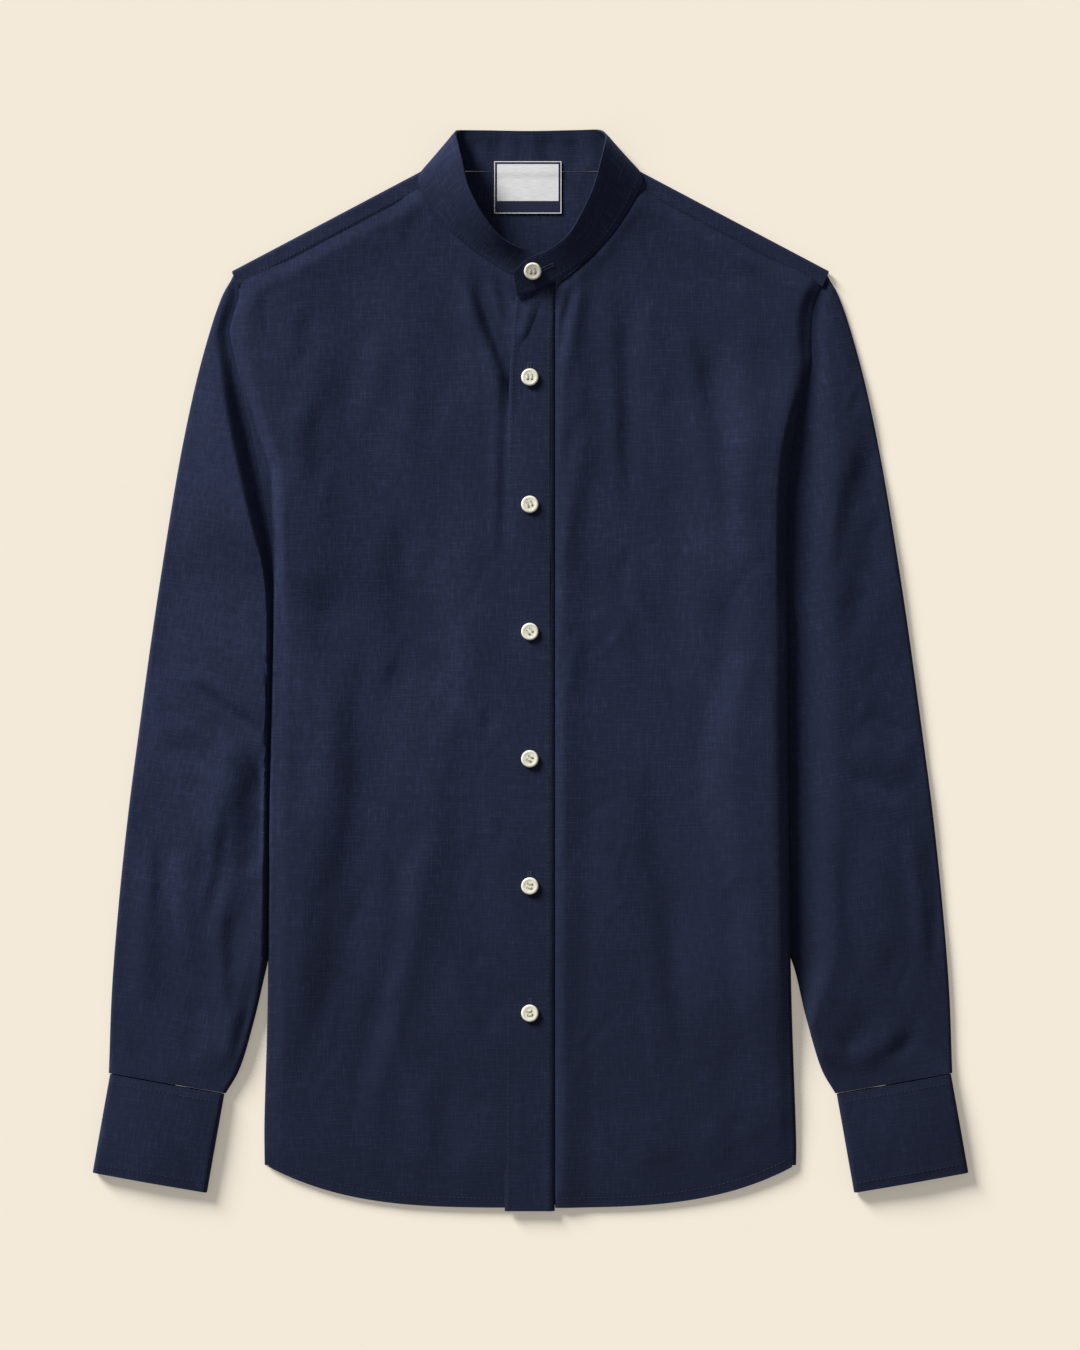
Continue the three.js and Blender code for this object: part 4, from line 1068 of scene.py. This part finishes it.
def placket_grid(cloth):
    """The strip of the left front that laps over the right one and holds the buttonholes."""
    down = np.linspace(PLACKET_TOP_Y, PLACKET_HEM_Y, 300)
    across = np.array([0, 0.03, 0.07, 0.12, *np.linspace(0.18, 0.82, 14), 0.88, 0.93, 0.97, 1])
    u, y = np.meshgrid(across, down)
    left = placket_edge(y)
    x = left + (PLACKET_RIGHT_X - left) * u
    y = y + PLACKET_TOP_SLANT * u * ease(256, PLACKET_TOP_Y, y)
    creases = (
        ((14, 272, 8, 254, 0, 236, -6, 222), 4.5, -1.5), ((2, 268, -4, 250, -9, 236), 4, 1.0),
        ((-12, 206, -10, 150, -11, 96), 4, 0.3), ((6, 110, 8, 60, 5, 20), 4, -0.25),
        ((-8, -30, -6, -90, -9, -150), 4, 0.3), ((7, -120, 9, -200, 7, -260), 4, -0.25),
        ((-10, -250, -8, -310, -10, -360), 4, 0.3),
    )
    free = ease(0, 0.1, u) * ease(1, 0.9, u)
    height = PLACKET_CAMBER * np.sin(math.pi * u) + 0.1 * ease(240, 275, y)
    height += (fold_height(creases, x, y) + 0.3 * swell(5, x, y)
               + 0.14 * crumple(77, x, y, (-18, 17, -390, 270), 70)) * free * cloth.fold_height
    height += 0.3 * np.exp(-((u - 0.07) / 0.05) ** 2) + 0.4 * np.exp(-((u - 0.88) / 0.05) ** 2)
    height -= 1.1 * ease(0.955, 1, u) + 0.25 * ease(0.03, 0, u)
    return np.stack([x, y, PLACKET_Z + height], -1)


def band_grid():
    """The collar band: one stiff strip that stands off the neck seam and laps at the front."""
    spans = len(BAND) - 1
    t = np.linspace(0, 1, spans * 8 + 1)
    table = np.array(BAND, float)
    low, high = curve_at(table[:, :3], t)[:, None], curve_at(table[:, 3:], t)[:, None]
    h = np.linspace(0, 1, 17)[None, :, None]
    grid = low + (high - low) * h
    normals = grid_normals(grid)
    back = ease(7.6, 9, t * spans) * ease(15.4, 14, t * spans)
    ripple = back[:, None] * fold_height(BAND_FOLDS, grid[..., 0], grid[..., 1])
    ripple = ripple * np.sin(math.pi * h[..., 0]) ** 0.7
    seam = 0.12 * np.exp(-((h[..., 0] - 0.9) / 0.06) ** 2)
    seam = seam + 0.1 * np.exp(-((h[..., 0] - 0.1) / 0.06) ** 2)
    soft = 0.25 * swell(8, grid[..., 0] * 2.4, grid[..., 1] * 2.4) * np.sin(math.pi * h[..., 0])
    up = np.sign(normals[..., 2:].mean())
    grid = grid + normals * up * (ripple + soft + seam)[..., None]
    length = np.linalg.norm(np.diff(low[:, 0], axis=0), axis=1)
    along = np.concatenate([[0], np.cumsum(length)])[:, None]
    uv = np.stack(np.broadcast_arrays(along, h[..., 0] * BAND_HEIGHT), -1) * MM
    return grid, uv


def sleeve_space(side, outward, y, cloth):
    """Height from the middle of a sleeve's lower wall to the middle of its upper wall."""
    outside = outward - body_edge(side, y)
    beside_chest = ease(262, 190, y) * ease(*LIP_END[side], y)
    width = read_table(RIGHT_RISE if side < 0 else LEFT_RISE, y)
    rise = ease(0.25 * width, width, outside)
    box = (*sorted((side * 180, side * 310)), -300, 285)
    x = side * outward
    folds = fold_height(SLEEVE_FOLDS, x, y) + fold_height(SLEEVE_FALLS, x, y, one_way=True)
    detail = folds * cloth.fold_height + 0.6 * swell(21 + side, x, y)
    detail = detail + crumple(51 + side, x, y, box, 80) * cloth.crumple / MM
    crown = SLEEVE_CROWN_SPACE - SLEEVE_SEAM_SPACE + SLEEVE_PUFF
    crown = (crown + GROOVE_PUFF[side] * beside_chest) * rise * read_table(SLEEVE_HEAD, y)
    reach = read_table(SLEEVE_OUTER_BY_Y, y) - body_edge(side, y) - width
    crown = crown * (1 - CROWN_FALL[side] * np.clip((outside - width) / reach, 0, 1))
    end = ease(-276, -299, y)
    full = SLEEVE_SEAM_SPACE + crown + detail * ease(0.3 * width, 3 + width, outside)
    return np.maximum(full * (1 - end) + SLEEVE_END_SPACE * end, SLEEVE_SEAM_SPACE)


def sleeve_grid(side, cloth):
    """A sleeve: a flat tube whose first ring is the armhole and last one the cuff's seam."""
    armhole_y = np.linspace(ARMHOLE_TOP_Y, UNDERARM_Y, 25)
    seam = np.stack([body_edge(side, armhole_y) - ARMHOLE_LAP, armhole_y], -1)
    under_y = np.array([80, 66, 54, 40, 24, 0, -30, -62, -104, -150, -185, -206.0])
    under_x = body_edge(side, under_y) - read_table(SLEEVE_TUCK, under_y) - 0.5
    inner_line = np.vstack([np.stack([under_x, under_y], -1), SLEEVE_INNER_LOW])
    s = np.concatenate([[0, 0.006, 0.014, 0.025, 0.04], np.linspace(0.06, 0.7, 40),
                        np.linspace(0.71, 0.955, 44), [0.968, 0.98, 0.989, 0.995, 1]])
    along = np.linspace(0, 1, 190)
    start = curve_by_length(SLEEVE_OUTER, along)[:, None]
    stop = curve_by_length(inner_line, along**SLEEVE_FAN)[:, None]
    bow = curve_by_length(seam, s) - (start[0] + (stop[0] - start[0]) * s[:, None])
    fade = (1 - np.minimum(along / ARMHOLE_BOW_REACH, 1)) ** 2
    flat = start + (stop - start) * s[None, :, None] + bow[None] * fade[:, None, None]
    outward, y = flat[..., 0], flat[..., 1]
    space = sleeve_space(side, outward, y, cloth)
    chord = np.linalg.norm(stop - start, axis=2)
    from_edge = np.minimum(s, 1 - s)[None] * chord
    rounded = np.sqrt(1 - (1 - np.minimum(from_edge / (space / 2 + 0.6), 1)) ** 2)
    base = CAD_CLOTH / 2
    upper_z, lower_z = (base + space / 2 * (1 + rounded * k) for k in (1, -1))
    upper = np.stack([side * outward, y, upper_z], -1)
    lower = np.stack([side * outward, y, np.maximum(lower_z, base)], -1)
    if side < 0:
        return np.concatenate([upper, lower[:, -2::-1]], axis=1)
    return np.concatenate([lower, upper[:, -2::-1]], axis=1)


def cuff_place(side, w, l, z):
    """Points of a cuff from places across it, down it and above the surface."""
    outer, inner = np.array(CUFF_SEAM_OUTER), np.array(CUFF_SEAM_INNER)
    across = (outer - inner) / np.linalg.norm(outer - inner)
    down = np.array([across[1], -across[0]])
    middle = (outer + inner) / 2
    x = middle[0] + across[0] * w + down[0] * l
    y = middle[1] + across[1] * w + down[1] * l
    return np.stack(np.broadcast_arrays(side * x, y, z), -1)


def cuff_lift(w, l, reach=32, flat=10.3):
    """Height that a cuff is held off the surface by the button that lies under it."""
    away = np.hypot(w - CUFF_BUTTON[0], l - CUFF_BUTTON[1])
    return CUFF_BUTTON_RISE * ease(reach, flat, away)


def cuff_top(w, l):
    """Height of the middle of a cuff's upper layer."""
    top = CUFF_CLOTH / 2 + 2 * CUFF_LAP_RISE + cuff_lift(w, l, CUFF_TOP_REACH, 8)
    ridge = sum(0.22 * np.exp(-((l - at) / 1.6) ** 2) for at in CUFF_STITCHES)
    return top + ridge + 0.3 * swell(44, w * 2.5, l * 2.5)


def cuff_grid(side):
    """A cuff: one stiff strip round the wrist, lapped and buttoned underneath."""
    half, base = CUFF_WIDTH / 2 - CUFF_CLOTH / 2, CUFF_CLOTH / 2
    plain_top = base + 2 * CUFF_LAP_RISE
    flat = half - (plain_top - base) / 2
    rows, lengths = [], np.linspace(SEAM, CUFF_LENGTH, 40)
    for l in lengths:
        def lap(w, l=l):
            return base + cuff_lift(w, l)

        def turn(sign, l=l):
            top = float(cuff_top(sign * flat, l))
            radius = (top - base) / 2
            angles = np.radians(np.linspace(-76, 76, 11))
            across = half - radius + radius * np.cos(angles)
            return sign * across, (top + base) / 2 + radius * np.sin(angles)
        w1 = np.linspace(CUFF_LAP_END, flat, 22)
        w2, z2 = turn(1)
        w3 = np.linspace(flat, -flat, 46)
        w4, z4 = turn(-1)
        w5 = np.linspace(-flat, CUFF_UNDERLAP_END, 34)
        rise = CUFF_LAP_RISE * ease(CUFF_LAP_END - 12, CUFF_LAP_END - 3, w5)
        w = np.concatenate([w1, w2, w3, w4[::-1], w5])
        z = np.concatenate([lap(w1), z2, cuff_top(w3, l), z4[::-1], lap(w5) + rise])
        rows.append(cuff_place(side, w, l, z))
    return np.array(rows)


def surface_line(grid, thickness, column):
    """Points and normals of the upper side of a grid along one column."""
    normals = grid_normals(grid)
    normals = normals * np.sign(normals[..., 2:3])
    return grid[:, column] + normals[:, column] * thickness / 2, normals[:, column]


def draped_line(x, y, height):
    """Points and normals along a line on a surface whose height is a function of x and y."""
    z = height(x, y)
    dx = (height(x + 0.5, y) - height(x - 0.5, y))
    dy = (height(x, y + 0.5) - height(x, y - 0.5))
    normals = np.stack([-dx, -dy, np.ones_like(z)], -1)
    normals /= np.linalg.norm(normals, axis=1, keepdims=True)
    return np.stack([x, y, z], -1), normals


class SHIRT_OT_body(bpy.types.Operator):
    """Makes the back, the yoke, the two fronts and the placket"""

    bl_idname = "shirt.body"
    bl_label = "Body"

    def execute(self, context):
        cloth = context.scene.shirt_cloth
        thick = cloth.thickness / MM
        body = (
            ("back", [back_grid()], (0.424, 0.652), ["floor"]),
            ("yoke", yoke_grids(), (0.446, 0.131), ["floor"]),
            ("front_right", [front_grid(RIGHT, cloth)], (0.238, 0.738), ["back_linen"]),
            ("front_left", [front_grid(LEFT, cloth)], (0.208, 0.738), ["back_linen"]),
            ("placket", [placket_grid(cloth)], (0.037, 0.672), ["front_right_linen"]),
        )
        for node, grids, size, rests_on in body:
            pairs = [(grid, flat_uv(grid)) for grid in grids]
            piece = wall(f"{node}_linen", pairs, thick, linen())
            declare(piece, [node])
        return {"FINISHED"}


class SHIRT_OT_collar(bpy.types.Operator):
    """Makes the standing collar band"""

    bl_idname = "shirt.collar"
    bl_label = "Collar band"

    def execute(self, context):
        grid, uv = band_grid()
        piece = wall("collar_band_linen", [(grid, uv)], BAND_CLOTH, linen())
        declare(piece, ["collar_band"])
        return {"FINISHED"}


class SHIRT_OT_sleeves(bpy.types.Operator):
    """Makes both sleeves and their cuffs"""

    bl_idname = "shirt.sleeves"
    bl_label = "Sleeves and cuffs"

    def execute(self, context):
        cloth = context.scene.shirt_cloth
        thick = cloth.thickness / MM
        for side, word in SIDE_NAMES.items():
            grid = sleeve_grid(side, cloth)
            turn = SLEEVE_TURN * side
            pair = (grid, flat_uv(grid, turn, SLEEVE_UV_SHIFT))
            sleeve = wall(f"sleeve_{word}_linen", [pair], thick, linen())
            declare(sleeve, [f"sleeve_{word}"])
            grid = cuff_grid(side)
            pair = (grid, flat_uv(grid, turn, CUFF_UV_SHIFT))
            cuff = wall(f"cuff_{word}_linen", [pair], CUFF_SHELL, linen())
            declare(cuff, [f"cuff_{word}"])
        return {"FINISHED"}


def buttonhole(centre, direction, normal, length):
    """Satin stitches round a buttonhole: bars across both of its sides and its two ends."""
    direction, normal = np.array(direction, float), np.array(normal, float)
    direction /= np.linalg.norm(direction)
    across = np.cross(normal, direction)
    places = np.arange(-length / 2, length / 2, HOLE_STITCH_PITCH)
    centres, tangents = [], []
    for sign in (-1, 1):
        centres.append(centre + places[:, None] * direction + sign * HOLE_HALF_WIDTH * across)
        tangents.append(np.repeat([across], len(places), axis=0))
        ends = np.linspace(-1.2, 1.2, 5)
        centres.append(centre + sign * (length / 2 + 0.2) * direction + ends[:, None] * across)
        tangents.append(np.repeat([direction], len(ends), axis=0))
    centres, tangents = np.vstack(centres), np.vstack(tangents)
    return centres, tangents, np.repeat([normal], len(centres), axis=0), *HOLE_STITCH


class SHIRT_OT_stitching(bpy.types.Operator):
    """Sews the seams, the hem and the buttonholes"""

    bl_idname = "shirt.stitching"
    bl_label = "Stitching"

    def execute(self, context):
        cloth = context.scene.shirt_cloth
        half = cloth.thickness / MM / 2
        thread = thread_spun_polyester("thread spun polyester", cloth.thread)
        runs = []
        placket = placket_grid(cloth)
        for column in PLACKET_STITCH_COLUMNS:
            runs.append(stitch_run(*surface_line(placket, 2 * half, column), cloth))
        for side in (RIGHT, LEFT):
            def height(x, y, side=side):
                return front_z(side, x, y, cloth) + half
            inner = -17.5 if side < 0 else 20
            x = np.linspace(side * 186, inner, 120)
            runs.append(stitch_run(*draped_line(x, hem_y(x) + HEM_STITCHES, height), cloth))
            x = side * np.linspace(NECK_POINT_X + 5, 212, 60)
            y = shoulder_y(x) - YOKE_STITCHES
            up = np.repeat([[0, 0, 1.0]], len(x), axis=0)
            z = np.full(len(x), CAD_CLOTH / 2 + SHOULDER_SPACE + 0.12 + half)
            runs.append(stitch_run(np.stack([x, y, z], -1), up, cloth))
            for l in CUFF_STITCHES:
                w = np.linspace(-CUFF_STITCHES_HALF, CUFF_STITCHES_HALF, 60)
                line = cuff_place(side, w, l, cuff_top(w, l) + CUFF_SHELL / 2)
                up = np.repeat([[0, 0, 1.0]], len(w), axis=0)
                runs.append(stitch_run(line, up, cloth))
        band, _ = band_grid()
        normals = grid_normals(band)
        shown = normals * np.sign(normals[..., 2:].mean())
        outer = band + shown * BAND_CLOTH / 2
        row = BAND_STITCH_ROW
        runs.append(stitch_run(outer[:, row], shown[:, row], cloth, BAND_STITCH_SINK))
        seams = threads("seam_stitches", runs, thread)
        declare(seams, [])
        holes = []
        for k in range(PLACKET_BUTTONS):
            y = BUTTON_TOP_Y - k * BUTTON_STEP
            z = PLACKET_Z + PLACKET_CAMBER + half
            holes.append(buttonhole((BUTTON_X, y + 1.6, z), (0, 1, 0), (0, 0, 1),
                                    PLACKET_HOLE_LENGTH))
        k = int(np.argmin(np.linalg.norm(band[:, 8] - (8, 292, 9), axis=1)))
        along = band[k + 3, 8] - band[k - 3, 8]
        holes.append(buttonhole(outer[k, 8], along, shown[k, 8], COLLAR_HOLE_LENGTH))
        dark = thread_spun_polyester("thread buttonhole twist", cloth.colour)
        declare(threads("buttonhole_stitches", holes, dark), [])
        return {"FINISHED"}


def button_mesh(buttons, material):
    """A turned button with a raised rim and four holes that go through."""
    r, top = buttons.diameter / MM / 2, BUTTON_HEIGHT
    profile = np.array([
        (0, 0), (r - 1.2, 0), (r - 0.5, 0.25), (r - 0.1, 0.75), (r, 1.2), (r - 0.1, 1.65),
        (r - 0.3, 2.0), (r - 0.8, top), (r - 1.5, 2.28), (r - 2.1, 2.18), (r - 2.6, 2.08),
        (r - 3.1, 2.05), (0, 2.05)])
    sides = 48
    angles = np.linspace(0, 2 * math.pi, sides, endpoint=False)
    vertices = [(0, 0, 0)]
    for radius, z in profile[1:-1]:
        vertices += [(radius * math.cos(a), radius * math.sin(a), z) for a in angles]
    vertices.append((0, 0, profile[-1][1]))
    faces, last = [], len(vertices) - 1
    for k in range(sides):
        n = (k + 1) % sides
        faces.append((0, 1 + n, 1 + k))
        for ring in range(len(profile) - 3):
            low, high = 1 + ring * sides, 1 + (ring + 1) * sides
            faces.append((low + k, low + n, high + n, high + k))
        low = 1 + (len(profile) - 3) * sides
        faces.append((low + k, low + n, last))
    mesh = bpy.data.meshes.new("button")
    mesh.from_pydata((np.array(vertices) * MM).tolist(), [], faces)
    mesh.materials.append(material)
    body = new_object("button_blank", mesh)
    pitch = buttons.hole_pitch / 2
    bpy.ops.object.select_all(action="DESELECT")
    for sx in (-pitch, pitch):
        for sy in (-pitch, pitch):
            bpy.ops.mesh.primitive_cylinder_add(
                vertices=20, radius=buttons.hole / 2, depth=0.01, location=(sx, sy, 0))
            cutter = bpy.context.object
            cut = body.modifiers.new("hole", "BOOLEAN")
            cut.operation, cut.object, cut.solver = "DIFFERENCE", cutter, "EXACT"
    cut_mesh = bpy.data.meshes.new_from_object(
        body.evaluated_get(bpy.context.evaluated_depsgraph_get()))
    for modifier in list(body.modifiers):
        bpy.data.objects.remove(modifier.object)
    bpy.data.objects.remove(body)
    cut_mesh.shade_smooth()
    cut_mesh.set_sharp_from_angle(angle=math.radians(BUTTON_SHARP_ANGLE))
    return cut_mesh


class SHIRT_OT_buttons(bpy.types.Operator):
    """Turns the buttons and sews them on"""

    bl_idname = "shirt.buttons"
    bl_label = "Buttons"

    def execute(self, context):
        buttons = context.scene.shirt_buttons
        corozo = button_corozo_turned("button corozo turned", buttons.colour)
        shape = button_mesh(buttons, corozo)
        seat = PLACKET_Z + PLACKET_CAMBER + 0.75 + SEAM
        places = [("button_1", COLLAR_BUTTON, COLLAR_BUTTON_TILT, 0.0)]
        for k in range(PLACKET_BUTTONS):
            y = BUTTON_TOP_Y - k * BUTTON_STEP
            places.append((f"button_{k + 2}", (BUTTON_X, y, seat), 0.0, BUTTON_SPIN * k))
        for side, word in SIDE_NAMES.items():
            spot = cuff_place(side, *CUFF_BUTTON, BUTTON_HEIGHT)
            places.append((f"cuff_button_{word}", tuple(spot), math.pi, 0.0))
        runs = []
        for node, place, tilt, spin in places:
            piece = new_object(f"{node}_turned", shape.copy())
            piece.data.transform(Matrix.Translation(Vector(place) * MM)
                                 @ Matrix.Rotation(tilt, 4, "X") @ Matrix.Rotation(spin, 4, "Z"))
            declare(piece, [node])
            turn = Matrix.Rotation(tilt, 3, "X") @ Matrix.Rotation(spin, 3, "Z")
            pitch = buttons.hole_pitch / MM / 2
            for offset in (-0.35, 0, 0.35):
                for sign in (-1, 1):
                    centre = Vector(place) + turn @ Vector((sign * pitch + offset, 0, 2.17))
                    tangent, normal = turn @ Vector((0, 1, 0)), turn @ Vector((0, 0, 1))
                    runs.append((np.array([centre]), np.array([tangent]), np.array([normal]),
                                 2 * pitch + 1.2, 0.5))
        thread = thread_spun_polyester("thread button ivory", buttons.thread)
        declare(threads("button_threads", runs, thread), [])
        return {"FINISHED"}


def label_patch(x0, x1, y0, y1, raised=LABEL_RAISED):
    """A grid of points for a rectangle of the label, given as shares of it from its top left."""
    u, v = np.meshgrid(np.linspace(x0, x1, 24), np.linspace(y0, y1, 20))
    x = LABEL_X + (u - 0.5) * LABEL_WIDTH
    y = LABEL_TOP_Y - v * LABEL_LENGTH
    rest = 1.4 + 0.4 * ease(0.34, 0.2, v)
    curl = 0.25 * np.sin(math.pi * u) * np.sin(math.pi * v)
    z = rest + 0.45 + LABEL_CLOTH / 2 + curl + raised
    return np.stack([x, y, z], -1)


class SHIRT_OT_label(bpy.types.Operator):
    """Makes the blank neck label: a border, a thin outline and a plain field"""

    bl_idname = "shirt.label"
    bl_label = "Neck label"

    def execute(self, context):
        label = context.scene.shirt_label
        pale = label_damask_woven("label damask pale", label.field)
        navy = label_damask_woven("label damask navy", label.border)
        u = label.border_width / MM / LABEL_WIDTH
        v = label.border_width / MM / LABEL_LENGTH
        edge_u, edge_v = LABEL_OUTLINE / LABEL_WIDTH, LABEL_OUTLINE / LABEL_LENGTH
        border = wall("neck_label_border", [self.pair(0, 1, 0, 1, 0)], LABEL_CLOTH, navy)
        field = wall("neck_label_field", [self.pair(u, 1 - u, v, LABEL_FIELD_END)],
                     LABEL_LAYER, pale)
        strips = [self.pair(*sizes) for sizes in (
            (0, edge_u, 0, 1), (1 - edge_u, 1, 0, 1),
            (edge_u, 1 - edge_u, 0, edge_v), (edge_u, 1 - edge_u, 1 - edge_v, 1))]
        edge = wall("neck_label_outline", strips, LABEL_LAYER, pale)
        declare(border, ["neck_label"])
        declare(field, [])
        declare(edge, [])
        return {"FINISHED"}

    @staticmethod
    def pair(*sizes):
        grid = label_patch(*sizes)
        return grid, flat_uv(grid)


class SHIRT_OT_stage(bpy.types.Operator):
    """Sets up the surface, the light and the camera over the shirt"""

    bl_idname = "shirt.stage"
    bl_label = "Stage"

    def execute(self, context):
        stage, scene = context.scene.shirt_stage, context.scene
        camera = bpy.data.cameras.new("camera")
        camera.lens = stage.lens
        camera.sensor_width = CAMERA_SENSOR
        camera.clip_start, camera.clip_end = 0.05, 50
        eye = new_object("camera", camera)
        eye.location = (*CAMERA_PLACE, stage.camera_height)
        scene.camera = eye
        mesh = bpy.data.meshes.new("floor")
        corners = [(x * FLOOR_REACH, y * FLOOR_REACH, FLOOR_Z)
                   for x, y in ((-1, -1), (1, -1), (1, 1), (-1, 1))]
        mesh.from_pydata(corners, [], [(0, 1, 2, 3)])
        # The surface glows of its own accord: painted light that keeps the shadows on it pale.
        paper = surface_paper_painted_glow("paper board uncoated", stage.surface, stage.painted_glow)
        mesh.materials.append(paper)
        new_object("floor", mesh)
        key = bpy.data.lights.new("key", "SUN")
        key.energy = stage.key_light
        key.angle = math.radians(KEY_ANGLE)
        key.color = KEY_COLOUR
        lamp = new_object("key", key)
        lamp.rotation_euler = Vector(KEY_FROM).to_track_quat("Z", "Y").to_euler()
        world = bpy.data.worlds.new("studio")
        world.use_nodes = True
        sky = world.node_tree.nodes["Background"]
        sky.inputs["Color"].default_value = FILL_COLOUR
        sky.inputs["Strength"].default_value = stage.fill_light
        scene.world = world
        scene.view_settings.view_transform = "Standard"
        return {"FINISHED"}


class SHIRT_PT_panel(bpy.types.Panel):
    """Lists the sizes, colours and steps of the shirt"""

    bl_idname = "SHIRT_PT_panel"
    bl_label = "Mandarin collar shirt"
    bl_space_type = "VIEW_3D"
    bl_region_type = "UI"
    bl_category = "Shirt"

    def draw(self, context):
        layout = self.layout
        for name in GROUPS:
            group = getattr(context.scene, name)
            box = layout.box()
            for key in group.bl_rna.properties.keys():
                if key not in ("rna_type", "name"):
                    box.prop(group, key)
        for step in STEPS:
            layout.operator(step.bl_idname)


GROUPS = {
    "shirt_cloth": ShirtCloth,
    "shirt_buttons": ShirtButtons,
    "shirt_label": ShirtLabel,
    "shirt_stage": ShirtStage,
}
STEPS = (SHIRT_OT_stage, SHIRT_OT_body, SHIRT_OT_collar, SHIRT_OT_sleeves, SHIRT_OT_stitching,
         SHIRT_OT_buttons, SHIRT_OT_label)


def register():
    for name, group in GROUPS.items():
        bpy.utils.register_class(group)
        setattr(bpy.types.Scene, name, bpy.props.PointerProperty(type=group))
    for cls in (*STEPS, SHIRT_PT_panel):
        bpy.utils.register_class(cls)


def unregister():
    for cls in (SHIRT_PT_panel, *reversed(STEPS)):
        bpy.utils.unregister_class(cls)
    for name, group in GROUPS.items():
        delattr(bpy.types.Scene, name)
        bpy.utils.unregister_class(group)


def main():
    register()
    for step in STEPS:
        module, call = step.bl_idname.split(".")
        getattr(getattr(bpy.ops, module), call)()


if __name__ == "__main__":
    main()
